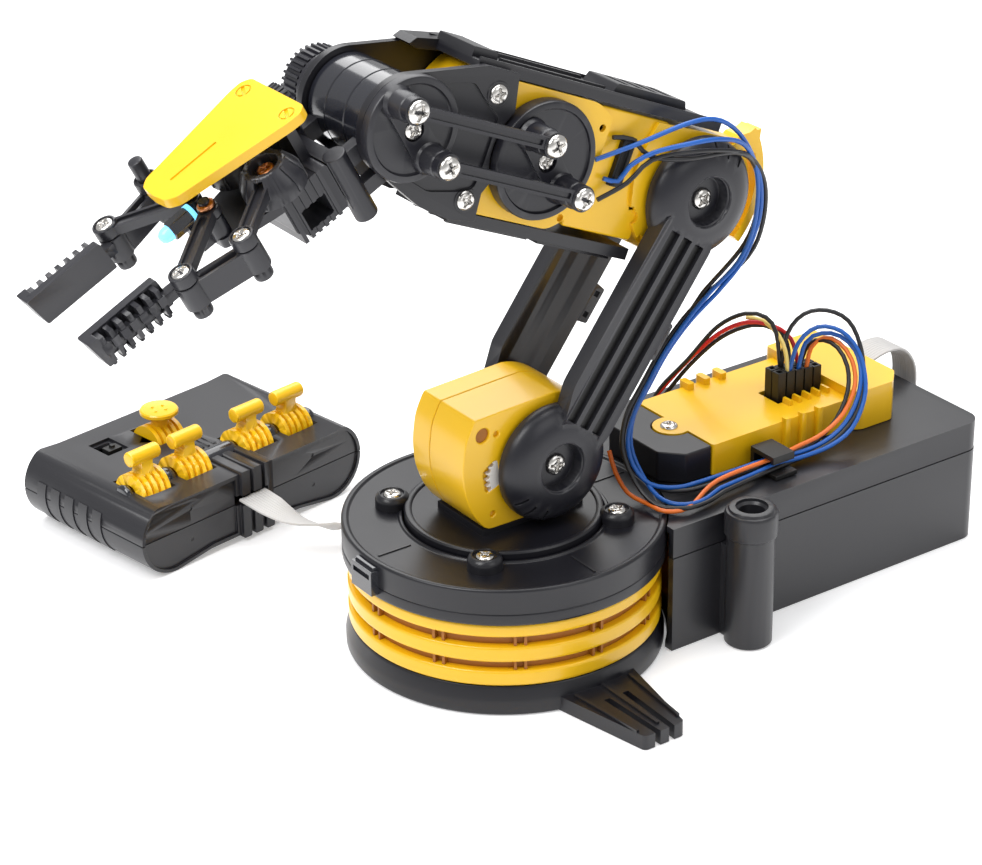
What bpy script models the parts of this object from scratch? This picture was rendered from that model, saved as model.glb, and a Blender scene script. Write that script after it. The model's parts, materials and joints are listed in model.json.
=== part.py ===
"""Motor-driven five-axis robot arm kit with a wired hand controller.

Frame: origin on the floor under the turntable axis, +X the way the arm reaches,
+Y the arm's left, +Z up.  Lengths below are in millimetres, scaled by MM.
"""
import bmesh
import bpy
from math import cos, pi, radians, sin, sqrt
from mathutils import Matrix, Vector

MM = 0.001
GAP = 0.3                 # clearance between touching pieces

# base
BASE_R, BASE_RIM_Z = 51.6, 9.7
RING_R, RING_IN_R = 50.6, 47.6
RINGS = ((10.0, 15.3), (18.4, 23.8), (27.2, 31.7))
TOP_R, TOP_Z0, TOP_Z1 = 52.0, 32.0, 44.6
BOSS_AT, BOSS_R, BOSS_Z = 25.6, 5.6, 48.6
DISC_R = 31.9
FOOT_TIP_Y, FOOT_ROOT_Y, FOOT_T = 83.4, 46.0, 5.0
BOX_X0, BOX_X1, BOX_Y, BOX_SEAM, LID_Z = -169.3, -36.0, 41.6, 33.4, 44.0
POST_X, POST_Y, POST_R, POST_Z = -60.5, 50.2, 7.8, 48.6
CELL_R, CELL_L = 17.1, 60.6
CELL_FRONT = -44.4        # the cells reach under the round base through a notch

# control cover on the lid
COVER_X0, COVER_X1, COVER_Y, COVER_Z = -128.0, -69.3, 20.0, 55.3
BLOCK_X0, BLOCK_Y, BLOCK_Z = -150.0, 23.5, 58.5
CAP_X1, CAP_Y = -52.0, 19.5
LID_TOP = LID_Z + GAP

# arm axes
SHOULDER = (-6.5, 0.0, 67.0)
UPPER_LEN, UPPER_DEG = 94.1, 126.9
FORE_DEG, DRIVE_AT, WRIST_AT = 23.8, 65.6, 118.1
HAND_DEG = -27.0
HALF_W = 13.9             # half the width of a gearbox
DOME_R = 19.5
CRANK_R, CRANK_DEG = 10.8, 38.3
POST_OUT = 27.7           # outer end of the crank posts

# gripper
GEAR_AT, GEAR_Y = 40.6, 10.0
LINK_AT, LINK_Y = 59.5, 5.0
LINK_LEN, LINK_DEG = 26.7, 38.2
JAW_Y = 14.5              # inner face of each jaw at rest
LINK_H = (11.3, 14.2)     # the links' lower and upper face above the wrist axis

# hand controller, in its own frame
CTRL_AT, CTRL_DEG = (69.9, -98.7, 0.0), 190.0
LOBE_R, LOBE_U0, LOBE_U1 = 14.0, 5.0, 76.5
CTRL_DEPTH, CTRL_TOP, CTRL_SEAM = 64.0, 25.5, 13.9
LEVER_U, LEVER_M, LEVER_Z, HUB_R = (7.5, 26.0, 54.0, 72.5), 18.0, 23.5, 7.5
KNOB_U, KNOB_M = 37.0, 45.0
SWITCH_U, SWITCH_M = 17.0, 49.0

YELLOW = (0.92, 0.55, 0.008)
BLACK = (0.035, 0.036, 0.045)
GREY = (0.09, 0.09, 0.11)

for old in list(bpy.data.objects):
    bpy.data.objects.remove(old, do_unlink=True)


# ---------------------------------------------------------------- solids

def closed(faces):
    """A bmesh from a list of polygons, welded, with its faces pointing out."""
    bm = bmesh.new()
    for poly in faces:
        bm.faces.new([bm.verts.new(Vector(p) * MM) for p in poly])
    bmesh.ops.remove_doubles(bm, verts=bm.verts, dist=1e-6)
    bmesh.ops.recalc_face_normals(bm, faces=bm.faces)
    return bm


def place(p, axis, h):
    """A 2-D point lifted to height h along an axis: z -> (x,y), y -> (x,z), x -> (y,z)."""
    if axis == "z":
        return (p[0], p[1], h)
    return (p[0], h, p[1]) if axis == "y" else (h, p[0], p[1])


def prism(pts, lo, hi, axis="z"):
    """An outline carried along an axis from lo to hi."""
    n = len(pts)
    low = [place(p, axis, lo) for p in pts]
    high = [place(p, axis, hi) for p in pts]
    sides = [[low[i], low[(i + 1) % n], high[(i + 1) % n], high[i]] for i in range(n)]
    return closed([low[::-1], high] + sides)


def box(x0, x1, y0, y1, z0, z1):
    return prism([(x0, y0), (x1, y0), (x1, y1), (x0, y1)], z0, z1)


def arc(cx, cy, r, a0, a1, n):
    """Points of an arc in degrees, both ends included."""
    step = (a1 - a0) / n
    return [(cx + r * cos(radians(a0 + step * i)), cy + r * sin(radians(a0 + step * i)))
            for i in range(n + 1)]


def disc(cx, cy, r, n=32):
    return arc(cx, cy, r, 0, 360, n)[:-1]


def rod(cx, cy, r, lo, hi, axis="z", n=24):
    return prism(disc(cx, cy, r, n), lo, hi, axis)


def lathe(profile, cx=0.0, cy=0.0, axis="z", n=48):
    """A closed (radius, height) outline turned about an axis."""
    rings = []
    for k in range(n):
        a = 2 * pi * k / n
        rings.append([place((cx + r * cos(a), cy + r * sin(a)), axis, h)
                      for r, h in profile])
    faces, m = [], len(profile)
    for k in range(n):
        here, there = rings[k], rings[(k + 1) % n]
        for i in range(m):
            j = (i + 1) % m
            if profile[i][0] == profile[j][0] == 0:
                continue
            quad = [here[i], here[j], there[j], there[i]]
            if profile[i][0] == 0:
                quad = [here[i], here[j], there[j]]
            elif profile[j][0] == 0:
                quad = [here[i], here[j], there[i]]
            faces.append(quad)
    return closed(faces)


def bar(p, q, half, lo, hi, axis="z", n=10):
    """A flat link with round ends between two points."""
    d = Vector((q[0] - p[0], q[1] - p[1]))
    turn = d.angle_signed(Vector((1, 0))) * 180 / pi
    pts = arc(q[0], q[1], half, turn - 90, turn + 90, n)
    pts += arc(p[0], p[1], half, turn + 90, turn + 270, n)
    return prism(pts, lo, hi, axis)


def merged(solids):
    bm = bmesh.new()
    for part in solids:
        mesh = bpy.data.meshes.new("tmp")
        part.to_mesh(mesh)
        part.free()
        bm.from_mesh(mesh)
        bpy.data.meshes.remove(mesh)
    return bm


# ---------------------------------------------------------------- objects

materials = {}


def material(name, colour, rough=0.42, metal=0.0):
    mat = bpy.data.materials.new(name)
    mat.use_nodes = True
    shader = mat.node_tree.nodes["Principled BSDF"]
    shader.inputs["Base Color"].default_value = (*colour, 1)
    shader.inputs["Roughness"].default_value = rough
    shader.inputs["Metallic"].default_value = metal
    return mat


def axis_empty(name, where, deg=0.0, parent=None, about="Y"):
    """An empty on a joint's axis, its X turned up by deg (about Y) or round (about Z)."""
    empty = bpy.data.objects.new(name, None)
    bpy.context.scene.collection.objects.link(empty)
    empty.location = Vector(where) * MM
    empty.rotation_euler = (0, -radians(deg), 0) if about == "Y" else (0, 0, radians(deg))
    if parent:
        empty.parent = parent
    return empty


def to_object(name, bm, parent):
    mesh = bpy.data.meshes.new(name)
    bm.to_mesh(mesh)
    bm.free()
    mesh.shade_smooth()
    mesh.set_sharp_from_angle(angle=radians(35))
    obj = bpy.data.objects.new(name, mesh)
    bpy.context.scene.collection.objects.link(obj)
    obj.parent = parent
    return obj


def part(name, solid, add=(), cut=(), parent=None, colour=BLACK, rough=0.42, metal=0.0):
    """One named piece: a solid, more solids joined to it, then others cut away."""
    obj = to_object(name, solid, parent)
    obj.data.materials.append(material(name, colour, rough, metal))
    for kind, tools in (("UNION", add), ("DIFFERENCE", cut)):
        if not tools:
            continue
        tool = to_object(f"{name}_{kind.lower()}", merged(tools), parent)
        tool.hide_render = True
        tool.display_type = "WIRE"
        mod = obj.modifiers.new(kind.lower(), "BOOLEAN")
        mod.operation = kind
        mod.solver = "EXACT"
        mod.use_self = len(tools) > 1
        mod.object = tool
    return obj


def smooth_route(points, step):
    """Points about step apart along a smooth curve through the given points."""
    pts = [Vector(p) for p in points]
    ends = [pts[0] * 2 - pts[1]] + pts + [pts[-1] * 2 - pts[-2]]
    out = []
    for i in range(1, len(ends) - 2):
        p0, p1, p2, p3 = ends[i - 1:i + 3]
        n = max(2, round((p2 - p1).length / step))
        for k in range(n):
            t = k / n
            out.append(0.5 * (2 * p1 + (p2 - p0) * t + (2 * p0 - 5 * p1 + 4 * p2 - p3) * t * t
                              + (3 * p1 - p0 - 3 * p2 + p3) * t ** 3))
    return out + [pts[-1]]


def wire(name, points, radius, colour, step=9.0, parent=None):
    """A cord: a round tube along a smooth curve, its ends filled."""
    curve = bpy.data.curves.new(name, "CURVE")
    curve.dimensions = "3D"
    curve.bevel_depth = radius * MM
    curve.bevel_resolution = 2
    curve.use_fill_caps = True
    route = smooth_route(points, step)
    spline = curve.splines.new("POLY")
    spline.points.add(len(route) - 1)
    for spot, p in zip(spline.points, route):
        spot.co = (*(p * MM), 1)
    obj = bpy.data.objects.new(name, curve)
    bpy.context.scene.collection.objects.link(obj)
    curve.materials.append(material(name, colour, 0.4))
    obj.parent = parent
    return obj


def ribbon(name, points, across, width, thick, colour):
    """A flat cable: a thin strip of constant width whose sides follow `across`."""
    rows = []
    n = len(points)
    for i, p in enumerate(points):
        a = Vector(points[max(i - 1, 0)])
        b = Vector(points[min(i + 1, n - 1)])
        along = (b - a).normalized()
        side = Vector(across[i])
        side = (side - along * side.dot(along)).normalized()
        up = along.cross(side)
        mid = Vector(p)
        rows.append([mid + side * sx * width / 2 + up * sz * thick / 2
                     for sx, sz in ((-1, -1), (1, -1), (1, 1), (-1, 1))])
    faces = [rows[0][::-1], rows[-1]]
    for here, there in zip(rows, rows[1:]):
        for k in range(4):
            j = (k + 1) % 4
            faces.append([here[k], here[j], there[j], there[k]])
    bm = closed(faces)
    bmesh.ops.triangulate(bm, faces=bm.faces)
    obj = to_object(name, bm, None)
    obj.data.materials.append(material(name, colour, 0.5))
    return obj


# ---------------------------------------------------------------- base

def foot(side):
    """Half of a foot's outline: wide root, narrow tip."""
    y0, y1 = FOOT_ROOT_Y * side, FOOT_TIP_Y * side
    return prism([(-15, y0), (15, y0), (7.6, y1), (-7.6, y1)], 0, FOOT_T)


def foot_slots(side):
    slots = []
    for x in (-1, 1):
        y0, y1 = 59 * side, (FOOT_TIP_Y + 2) * side
        pts = [(x * 3.6 - 1.1, y0), (x * 3.6 + 1.1, y0), (x * 2.6 + 1.0, y1), (x * 2.6 - 1.0, y1)]
        slots.append(prism(pts, -1, FOOT_T + 1))
    return slots


def cell_notch():
    """The space at the back of the round base that the cells' front ends take."""
    return box(-70, CELL_FRONT + 0.8, -36, 36, 2.2, 2.8 + 2 * CELL_R + 0.8)


def boss_places():
    return [(sx * BOSS_AT, sy * BOSS_AT) for sx in (-1, 1) for sy in (-1, 1)]


def make_base():
    rim = [(0, 0), (BASE_R - 1.2, 0), (BASE_R, 1.2), (BASE_R, 4.2), (BASE_R - 1.6, BASE_RIM_Z),
           (46.0, BASE_RIM_Z), (46.0, 4.0), (0, 4.0)]
    part("base_plate", lathe(rim, n=40), [foot(1), foot(-1)],
         foot_slots(1) + foot_slots(-1) + [cell_notch()])

    outer = []
    for lo, hi in RINGS:
        outer += [(RING_IN_R, lo), (RING_R, lo), (RING_R, hi), (RING_IN_R, hi)]
    wall = [(44.5, RINGS[2][1]), (44.5, RINGS[0][0])]
    part("ring_housing", lathe(outer[1:-1] + wall, n=32), (), [cell_notch()],
         colour=YELLOW, rough=0.3)

    top = [(DISC_R + 0.4, 41.6), (49.6, 41.6), (49.6, TOP_Z0), (TOP_R, TOP_Z0),
           (TOP_R, TOP_Z1 - 0.8), (TOP_R - 0.8, TOP_Z1), (DISC_R + 0.4, TOP_Z1)]
    bosses = [rod(x, y, BOSS_R, 43.0, BOSS_Z, n=14) for x, y in boss_places()]
    part("top_plate", lathe(top, n=40), bosses,
         [rod(0, 0, DISC_R + 0.4, 40, 60, n=40), cell_notch()])
    part("base_gearbox", box(-20, 34, -17, 17, 4.3, 26),
         [rod(0, 0, 8.0, 25.0, 38.0, n=20)], colour=YELLOW, rough=0.35)


def round_box(x0, x1, y, r, z0, z1):
    """A box whose two far vertical corners are rounded."""
    pts = [(x1, -y), (x1, y)] + arc(x0 + r, y - r, r, 90, 180, 5) + arc(x0 + r, -y + r, r, 180, 270, 5)
    return prism(pts, z0, z1)


def make_battery_box():
    round_base = rod(0, 0, TOP_R + 0.4, -1, 60, n=64)
    hollow = round_box(BOX_X0 + 2.5, BOX_X1 + 9, BOX_Y - 2.5, 3.5, 2.2, 60)
    post = rod(POST_X, POST_Y, POST_R, 0, POST_Z, n=18)
    collar = rod(POST_X, POST_Y, POST_R + 0.9, 40.0, POST_Z - 1.2, n=18)
    web = box(POST_X - 5, POST_X + 5, BOX_Y - 0.6, POST_Y, 0, BOX_SEAM)
    bore = rod(POST_X, POST_Y, 4.6, 24, POST_Z + 1, n=14)
    part("battery_tray", round_box(BOX_X0, BOX_X1, BOX_Y, 6, 0, BOX_SEAM),
         [post, collar, web], [round_base, hollow, bore])
    part("battery_lid", round_box(BOX_X0, BOX_X1, BOX_Y - 0.2, 6, BOX_SEAM + GAP, LID_Z), (),
         [rod(0, 0, TOP_R + 0.4, -1, 60, n=64),
          round_box(BOX_X0 + 2.3, BOX_X1 + 9, BOX_Y - 2.5, 4, BOX_SEAM - 1, LID_Z - 2.2)])
    joint_x = CELL_FRONT - CELL_L
    first, *others = [rod(y, 2.8 + CELL_R, CELL_R, x, x + CELL_L - 0.2, axis="x", n=20)
                      for y in (-CELL_R - 0.2, CELL_R + 0.2) for x in (joint_x - CELL_L, joint_x)]
    straps = [box(joint_x - 4, joint_x + 4, y - 6, y + 6, 12, 28) for y in (-CELL_R, CELL_R)]
    straps.append(box(joint_x - 44, joint_x - 40, -6, 6, 14, 26))
    part("battery_cells", first, others + straps, colour=(0.45, 0.32, 0.12), metal=0.6)


def make_controls_on_lid():
    main = box(COVER_X0 - 1, COVER_X1, -COVER_Y, COVER_Y, LID_TOP, COVER_Z)
    block = box(BLOCK_X0, COVER_X0, -BLOCK_Y, BLOCK_Y, LID_TOP, BLOCK_Z)
    tab = rod(-67.5, 0.5, 6.4, 50.0, COVER_Z, n=24)
    ribs = [box(x, x + 2.6, -COVER_Y - 1.8, COVER_Y + 1.8, LID_TOP, COVER_Z + 1.4)
            for x in (-101, -108, -115)]
    wide = box(-120, -95, -COVER_Y + 2.5, COVER_Y - 2.5, COVER_Z, COVER_Z + 5)
    slot = box(-127.5, -106, -1.5, 9.0, 40, 70)
    inside = box(COVER_X0 - 18, COVER_X1 - 2.2, -COVER_Y + 2.2, COVER_Y - 2.2, 40, COVER_Z - 2.2)
    part("control_cover", main, [block, tab] + ribs, [wide, slot, inside], colour=YELLOW, rough=0.3)

    x1, y = CAP_X1, CAP_Y
    outline = [(COVER_X1 + GAP, -y), (x1 - 7, -y), (x1, -y + 6), (x1, y - 6), (x1 - 7, y),
               (COVER_X1 + GAP, y)]
    part("end_cap", prism(outline, LID_TOP, COVER_Z - 0.4), (),
         [rod(-67.5, 0.5, 6.4 + GAP, 40, 70, n=24),
          box(COVER_X1 - 2, x1 - 9, -y + 3, y - 3, 40, 49.5)], colour=GREY)
    part("circuit_board", box(-140, COVER_X1 - 3, -16, 16, 45.2, 46.8), colour=(0.02, 0.16, 0.06))
    plugs = [box(x, x + 3.3, 0.5, 7.5, 47.1, 65.5 - 0.4 * k) for k, x in
             enumerate((-110.4, -114.3, -118.2, -122.1, -126.0))]
    part("header_plugs", plugs[0], plugs[1:] + [box(-125.5, -107.5, 1.5, 6.5, 47.1, 54.0)])
    part("wire_clip", box(-92, -83, 22.4, 35.5, LID_TOP, 45.9),
         [box(-92, -83, 22.4, 24.2, 45, 52), box(-92, -83, 22.4, 34.0, 50.3, 52.0)])


# ---------------------------------------------------------------- gearboxes and arm

def gearbox_half(name, outline, shaft, y0, y1, inward, parent, cut=(), add=()):
    """One shell of a motor gearbox: a wall all round, open on the side where the halves meet."""
    c = Vector((sum(p[0] for p in outline), sum(p[1] for p in outline))) / len(outline)
    inner = []
    for p in outline:
        d = Vector(p) - c
        inner.append(tuple(c + d * (1 - 2.6 / d.length)))
    depth = (y0 - 1, y1 - 2.2) if inward < 0 else (y0 + 2.2, y1 + 1)
    cutters = [prism(inner, *depth, axis="y"), rod(*shaft, 4.4, -30, 30, "y", 20)] + list(cut)
    part(name, prism(outline, y0, y1, "y"), add, cutters, parent, YELLOW, 0.28)


def shoulder_outline():
    return (arc(0, 0, 22.4, 97, 234, 14) + [(-8, -18.3), (23.3, -18.3), (28.4, -11), (31.2, -3),
            (31.8, 5), (30.6, 14), (26.5, 22.2)])


def elbow_outline():
    return (arc(0, 0, 22.7, 118, 245, 12) + [(-4, -20.9), (11.7, -20.9), (19.5, -14), (22.6, -8),
            (25.6, 2), (24.6, 11), (22.7, 20)])


def wrist_outline():
    s = DRIVE_AT
    return [(s - 17, 20.2), (s - 24.4, 17), (s - 24.4, 0), (s - 20, -16), (s - 13.4, -20.9),
            (s + 24, -20.9), (s + 29, -14), (s + 31.4, 0), (s + 29, 13), (s + 24, 20.2)]


def dome(y_in, sign, at):
    """The round cap of an arm over its joint: a low dome with a screw well."""
    prof = [(0, 15.0), (DOME_R, 15.0), (DOME_R, 16.6), (17.2, 20.0), (12.4, 22.4), (8.4, 23.0),
            (7.6, 18.4), (0, 18.4)]
    return lathe([(r, sign * h) for r, h in prof], at, 0, "y", 24)


def make_shoulder(turn, upper):
    prof = [(0, 41.7), (DISC_R, 41.7), (DISC_R, 47.0), (DISC_R - 2.4, 47.0), (DISC_R - 2.4, 46.0),
            (0, 46.0)]
    part("turntable_disc", lathe(prof, n=40),
         [box(-22, 17, -12.5, 12.5, 45, 48.3), rod(0, 0, 7.6, 38.4, 43, n=24)], parent=turn)
    at = axis_empty("shoulder_housing_axis", SHOULDER, 0, turn)
    out = shoulder_outline()
    gearbox_half("shoulder_housing_left", out, (0, 0), -4.4, HALF_W, -1, at)
    gearbox_half("shoulder_housing_right", out, (0, 0), -HALF_W, -4.4 - GAP, 1, at)
    part("shoulder_motor", box(7.5, 25.5, -10.6, 10.6, -7.5, 7.5),
         [rod(0, 0, 1.2, 4.6, 8, "x", 12)], parent=at, colour=(0.6, 0.6, 0.62), metal=0.9)
    part("shoulder_shaft", rod(0, 0, 4.0, -14.6, 14.6, "y", 16), parent=upper, colour=GREY)
    part("elbow_shaft", rod(UPPER_LEN, 0, 4.0, -14.6, 14.6, "y", 16), parent=upper, colour=GREY)


def arm(name, sign, parent):
    """One side of the upper arm: two domes joined by a grooved blade."""
    y0, y1 = sorted((16.2 * sign, 22.0 * sign))
    blade = prism([(9, 9.6), (15, 11.5), (82, 11.5), (86, 8), (86, -10.5), (82, -11.8), (24, -11.8),
                   (14, -8.5), (9, -8.5)], y0, y1, "y")
    tab = box(43, 55.5, *sorted((16.4 * sign, 19.0 * sign)), 11, 15.8)
    grooves = [box(20, 75, *sorted((20.6 * sign, 25 * sign)), z - 1.9, z + 1.9)
               for z in (-5.6, 0.4, 6.4)]
    wells = [rod(x, 0, 7.6, *sorted((18.4 * sign, 26 * sign)), "y", 24) for x in (0, UPPER_LEN)]
    part(name, blade, [dome(15, sign, 0), dome(15, sign, UPPER_LEN), tab], grooves + wells,
         parent, GREY, 0.4)


def guard():
    """The curved wire guard behind the elbow housing."""
    band = arc(0, 0, 31.6, 128, 202, 12) + arc(0, 0, 28.6, 202, 128, 12)
    web = [(-12, 17), (-24, 17), (-22, 25), (-14, 21)]
    return [prism(band, 4, 11, "y"), prism(web, 4, 11, "y")]


def make_forearm(fore):
    out = elbow_outline()
    gearbox_half("elbow_housing_left", out, (0, 0), -2.0, HALF_W, -1, fore, add=guard())
    gearbox_half("elbow_housing_right", out, (0, 0), -HALF_W, -2.0 - GAP, 1, fore)
    out = wrist_outline()
    gearbox_half("wrist_housing_left", out, (DRIVE_AT, 0), -2.0, HALF_W, -1, fore)
    gearbox_half("wrist_housing_right", out, (DRIVE_AT, 0), -HALF_W, -2.0 - GAP, 1, fore)
    steel = dict(parent=fore, colour=(0.6, 0.6, 0.62), metal=0.9)
    part("elbow_motor", box(5.5, 19.5, -10.6, 10.6, -6.5, 6.5), **steel)
    part("wrist_motor", box(DRIVE_AT + 7.5, DRIVE_AT + 25.5, -10.6, 10.6, -7.5, 7.5), **steel)

    slots = [box(x, x + 3.0, -4.6, 4.6, 25.4, 28) for x in (13, 19, 25, 31)]
    part("top_rail", box(-2.5, 97, -13.4, 13.4, 20.6, 23.4), [box(8.5, 39, -7.5, 7.5, 23, 26.6),
         box(88, 97, -9, 9, 23, 26.4)], slots, fore)
    part("bottom_rail", box(17, 90, -13.4, 13.4, -25.0, -21.3),
         [box(20, 50, -9, 9, -26.6, -24)], (), fore)
    for name, sign in (("side_plate_left", 1), ("side_plate_right", -1)):
        y0, y1 = sorted((14.3 * sign, 17.0 * sign))
        f0, f1 = sorted((8.0 * sign, 17.0 * sign))
        front = arc(WRIST_AT, 0, 15.5, -75, 72, 10)
        outline = [(80.6, 9), (80.6, -8), (83.6, -14), (82.6, -22.7), (92, -23.8), (104, -22)] + \
            front + [(96.2, 22.8), (84.2, 22.8)]
        lip = [prism([(98.5, 21.4), (106, 19.6), (106, 21.8), (98.5, 24.0)], f0, f1, "y")]
        part(name, prism(outline, y0, y1, "y"), lip,
             [rod(DRIVE_AT, 0, DOME_R - 0.1, -40, 40, "y", 40), rod(WRIST_AT, 0, 4.9, -40, 40, "y", 24)],
             fore)


def crank(parent, at, y0, y1, r, deg, name, hub):
    """A disc with two posts that the push rods turn on."""
    prof = [(0, y0), (r, y0), (r, y1 - 0.7), (r - 0.7, y1), (0, y1)]
    posts = [rod(at + k * CRANK_R * cos(radians(deg)), k * CRANK_R * sin(radians(deg)), rr,
                 lo, hi, "y", 12) for k in (-1, 1) for rr, lo, hi in
             ((4.3, y0 + 1, POST_OUT), (2.0, POST_OUT - 1, 31.4), (3.7, 31.0, 32.6))]
    return part(name, lathe(prof, at, 0, "y", 32), posts + hub, parent=parent, colour=GREY)


def make_wrist(fore, drive, hand):
    turn = CRANK_DEG
    crank(drive, 0, 14.3, 19.4, DOME_R - 1.0, turn, "drive_disc", [rod(0, 0, 4.0, -11, 14.8, "y", 20)])
    crank(hand, 0, 17.4, 20.8, 16.0, turn + FORE_DEG - HAND_DEG, "crank_disc",
          [rod(0, 0, 4.5, 14.2, 18, "y", 20)])
    for name, k in (("push_rod_upper", 1), ("push_rod_lower", -1)):
        at = axis_empty(name + "_axis", (DRIVE_AT + k * CRANK_R * cos(radians(turn)), 0,
                                         k * CRANK_R * sin(radians(turn))), 0, fore)
        span = WRIST_AT - DRIVE_AT
        part(name, bar((0, 0), (span, 0), 1.9, 28.2, 30.6, "y"),
             [rod(x, 0, 4.1, 28.0, 30.7, "y", 14) for x in (0, span)],
             [rod(x, 0, 2.4, 20, 40, "y", 12) for x in (0, span)], at, GREY)


# ---------------------------------------------------------------- hand

def make_hand(hand):
    arms = []
    for y0, y1 in ((9.5, 13.6), (-13.6, -9.5)):
        arms += [box(6, 24, y0, y1, -1.5, 4.0), box(6, 24, y0, y1, -12.5, -8.0),
                 rod(21.4, (y0 + y1) / 2, 3.6, -18.5, 5.2, n=14)]
    arms.append(box(20.5, 25.0, -13.0, 13.0, -13.0, 5.0))
    part("wrist_drum", rod(0, 0, 13.6, -13.9, 13.9, "y", 40), arms, parent=hand, colour=GREY)

    floor = box(25.3, 62, -11.5, 11.5, 1.5, 4.5)
    part("gripper_housing", floor,
         [box(25.3, 43, -13, 13, -11, 5.2), rod(GEAR_AT, GEAR_Y, 3.0, 4, 18.5, n=16),
          rod(GEAR_AT, -GEAR_Y, 3.0, 4, 18.5, n=16), box(25.3, 29, -5, 5, 4, 22.4),
          rod(LINK_AT, LINK_Y, 1.7, 4, 17.0, n=12), rod(LINK_AT, -LINK_Y, 1.7, 4, 17.0, n=12),
          rod(LINK_AT, LINK_Y, 2.9, 4, 10.9, n=14), rod(LINK_AT, -LINK_Y, 2.9, 4, 10.9, n=14),
          box(60, 66, -2.4, 2.4, 1.5, 9.0)],
         [box(30, 39, -20, 20, -9, -2)], hand, GREY)
    part("gripper_motor", rod(-12.5, 12.8, 7.1, 16.6, 30.6, "x", 24), parent=hand, colour=GREY)
    part("wrist_wheel", rod(0, 0, 11.5, -33.0, -17.6, "y", 28),
         [rod(0, 0, 4.5, -18.5, -14.2, "y", 16)], (), hand, GREY)
    corners = [(22.8, -13.8), (22.8, 13.8), (25.5, 16), (30, 15.8), (66.5, 8.6), (69.3, 6.0),
               (69.8, 0), (69.3, -6.0), (66.5, -8.6), (30, -15.8), (25.5, -16)]
    part("shield", prism(corners, 22.7, 25.8), parent=hand, colour=YELLOW, rough=0.3)
    part("lamp", rod(0, 12.6, 3.1, 62.6, 71.5, "x", 16), [rod(0, 12.6, 2.4, 71, 74.5, "x", 16)],
         (), hand, (0.05, 0.05, 0.07))


def knuckles(sign):
    """Where the two links meet the jaw, as (s, y)."""
    ds, dy = LINK_LEN * cos(radians(LINK_DEG)), LINK_LEN * sin(radians(LINK_DEG))
    return ((GEAR_AT + ds, sign * (GEAR_Y + dy)), (LINK_AT + ds, sign * (LINK_Y + dy)))


def make_gripper(hand):
    lo, hi = LINK_H
    for side, sign in (("left", 1), ("right", -1)):
        rear, front = knuckles(sign)
        gear_axis = axis_empty(f"gear_{side}_axis", (GEAR_AT, sign * GEAR_Y, 0), 0, hand)
        link_axis = axis_empty(f"link_{side}_axis", (LINK_AT, sign * LINK_Y, 0), 0, hand)
        jaw_axis = axis_empty(f"jaw_{side}_axis", (rear[0], rear[1], 0), 0, gear_axis)
        jaw_axis.location -= gear_axis.location
        d = (rear[0] - GEAR_AT, rear[1] - sign * GEAR_Y)
        part(f"gear_{side}", rod(0, 0, 9.6, 7.0, 15.5, n=24),
             [bar((0, 0), d, 2.2, lo, hi, n=4), rod(*d, 3.3, lo, hi, n=12)],
             [rod(0, 0, 3.4, 0, 30, n=12), rod(*d, 2.1, 0, 30, n=8)], gear_axis, GREY)
        part(f"link_{side}", bar((0, 0), d, 2.2, lo, hi, n=4), [rod(*d, 3.3, lo, hi, n=12),
             rod(0, 0, 3.0, lo, hi, n=12)],
             [rod(0, 0, 2.1, 0, 30, n=8), rod(*d, 2.1, 0, 30, n=8)], link_axis, GREY)
        make_jaw(f"jaw_{side}", sign, rear, front, jaw_axis)


def make_jaw(name, sign, rear, front, parent):
    """A gripper finger: the bracket between its two pivots and the toothed pad."""
    f = (front[0] - rear[0], front[1] - rear[1])
    inner = sign * JAW_Y - rear[1]
    s0, s1 = 86.5 - rear[0], 113.2 - rear[0]
    pad_y = sorted((inner, inner + sign * 3.0))
    back_y = sorted((inner + sign * 2.0, inner + sign * 5.6))
    pad = prism([(s0 - 1, 5.3), (s1 - 2.0, 5.3), (s1, 15.3), (s0, 15.3)], *pad_y, "y")
    spine = prism([(s0 - 4, 7.6), (s1 - 2.5, 7.6), (s1 - 1.6, 11.4), (s0 - 4, 10.9)], *back_y, "y")
    teeth = [box(s0 + 2.5 + 3.6 * k, s0 + 4.4 + 3.6 * k, *sorted((inner + sign * 2, inner + sign * 7.0)),
                 6.0, 14.4) for k in range(7)]
    bosses = [rod(*p, 4.2, -0.6, 10.9, n=14) for p in ((0, 0), f)]
    pins = [rod(*p, 1.7, 10.5, 14.9, n=8) for p in ((0, 0), f)]
    heads = [rod(*p, 3.2, 14.6, 15.8, n=12) for p in ((0, 0), f)]
    part(name, bar((0, 0), f, 2.4, 2.5, 10.6, n=4), [pad, spine] + teeth + bosses + pins + heads,
         (), parent, GREY)


# ---------------------------------------------------------------- hand controller

def dogbone(inset=0.0):
    """The controller's side view: two round lobes with a slimmer waist."""
    r, top = LOBE_R - inset, CTRL_TOP - inset
    rise = sqrt(max(r * r - (top - LOBE_R) ** 2, 0.1))
    low = 2.2 + inset
    dip = sqrt(r * r - (LOBE_R - low) ** 2)
    a_top = 90 - 57.0
    left = arc(LOBE_U0, LOBE_R, r, 180 - a_top + 20, 270 + 12, 12)
    right = arc(LOBE_U1, LOBE_R, r, -90 - 12, a_top - 20, 12)
    return ([(LOBE_U0 - rise * 0.75, top + 0.6)] + left
            + [(LOBE_U0 + dip + 8, low), (LOBE_U1 - dip - 8, low)] + right
            + [(LOBE_U1 + rise * 0.75, top + 0.6), (LOBE_U1 - 2, top), (LOBE_U0 + 2, top)])


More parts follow.
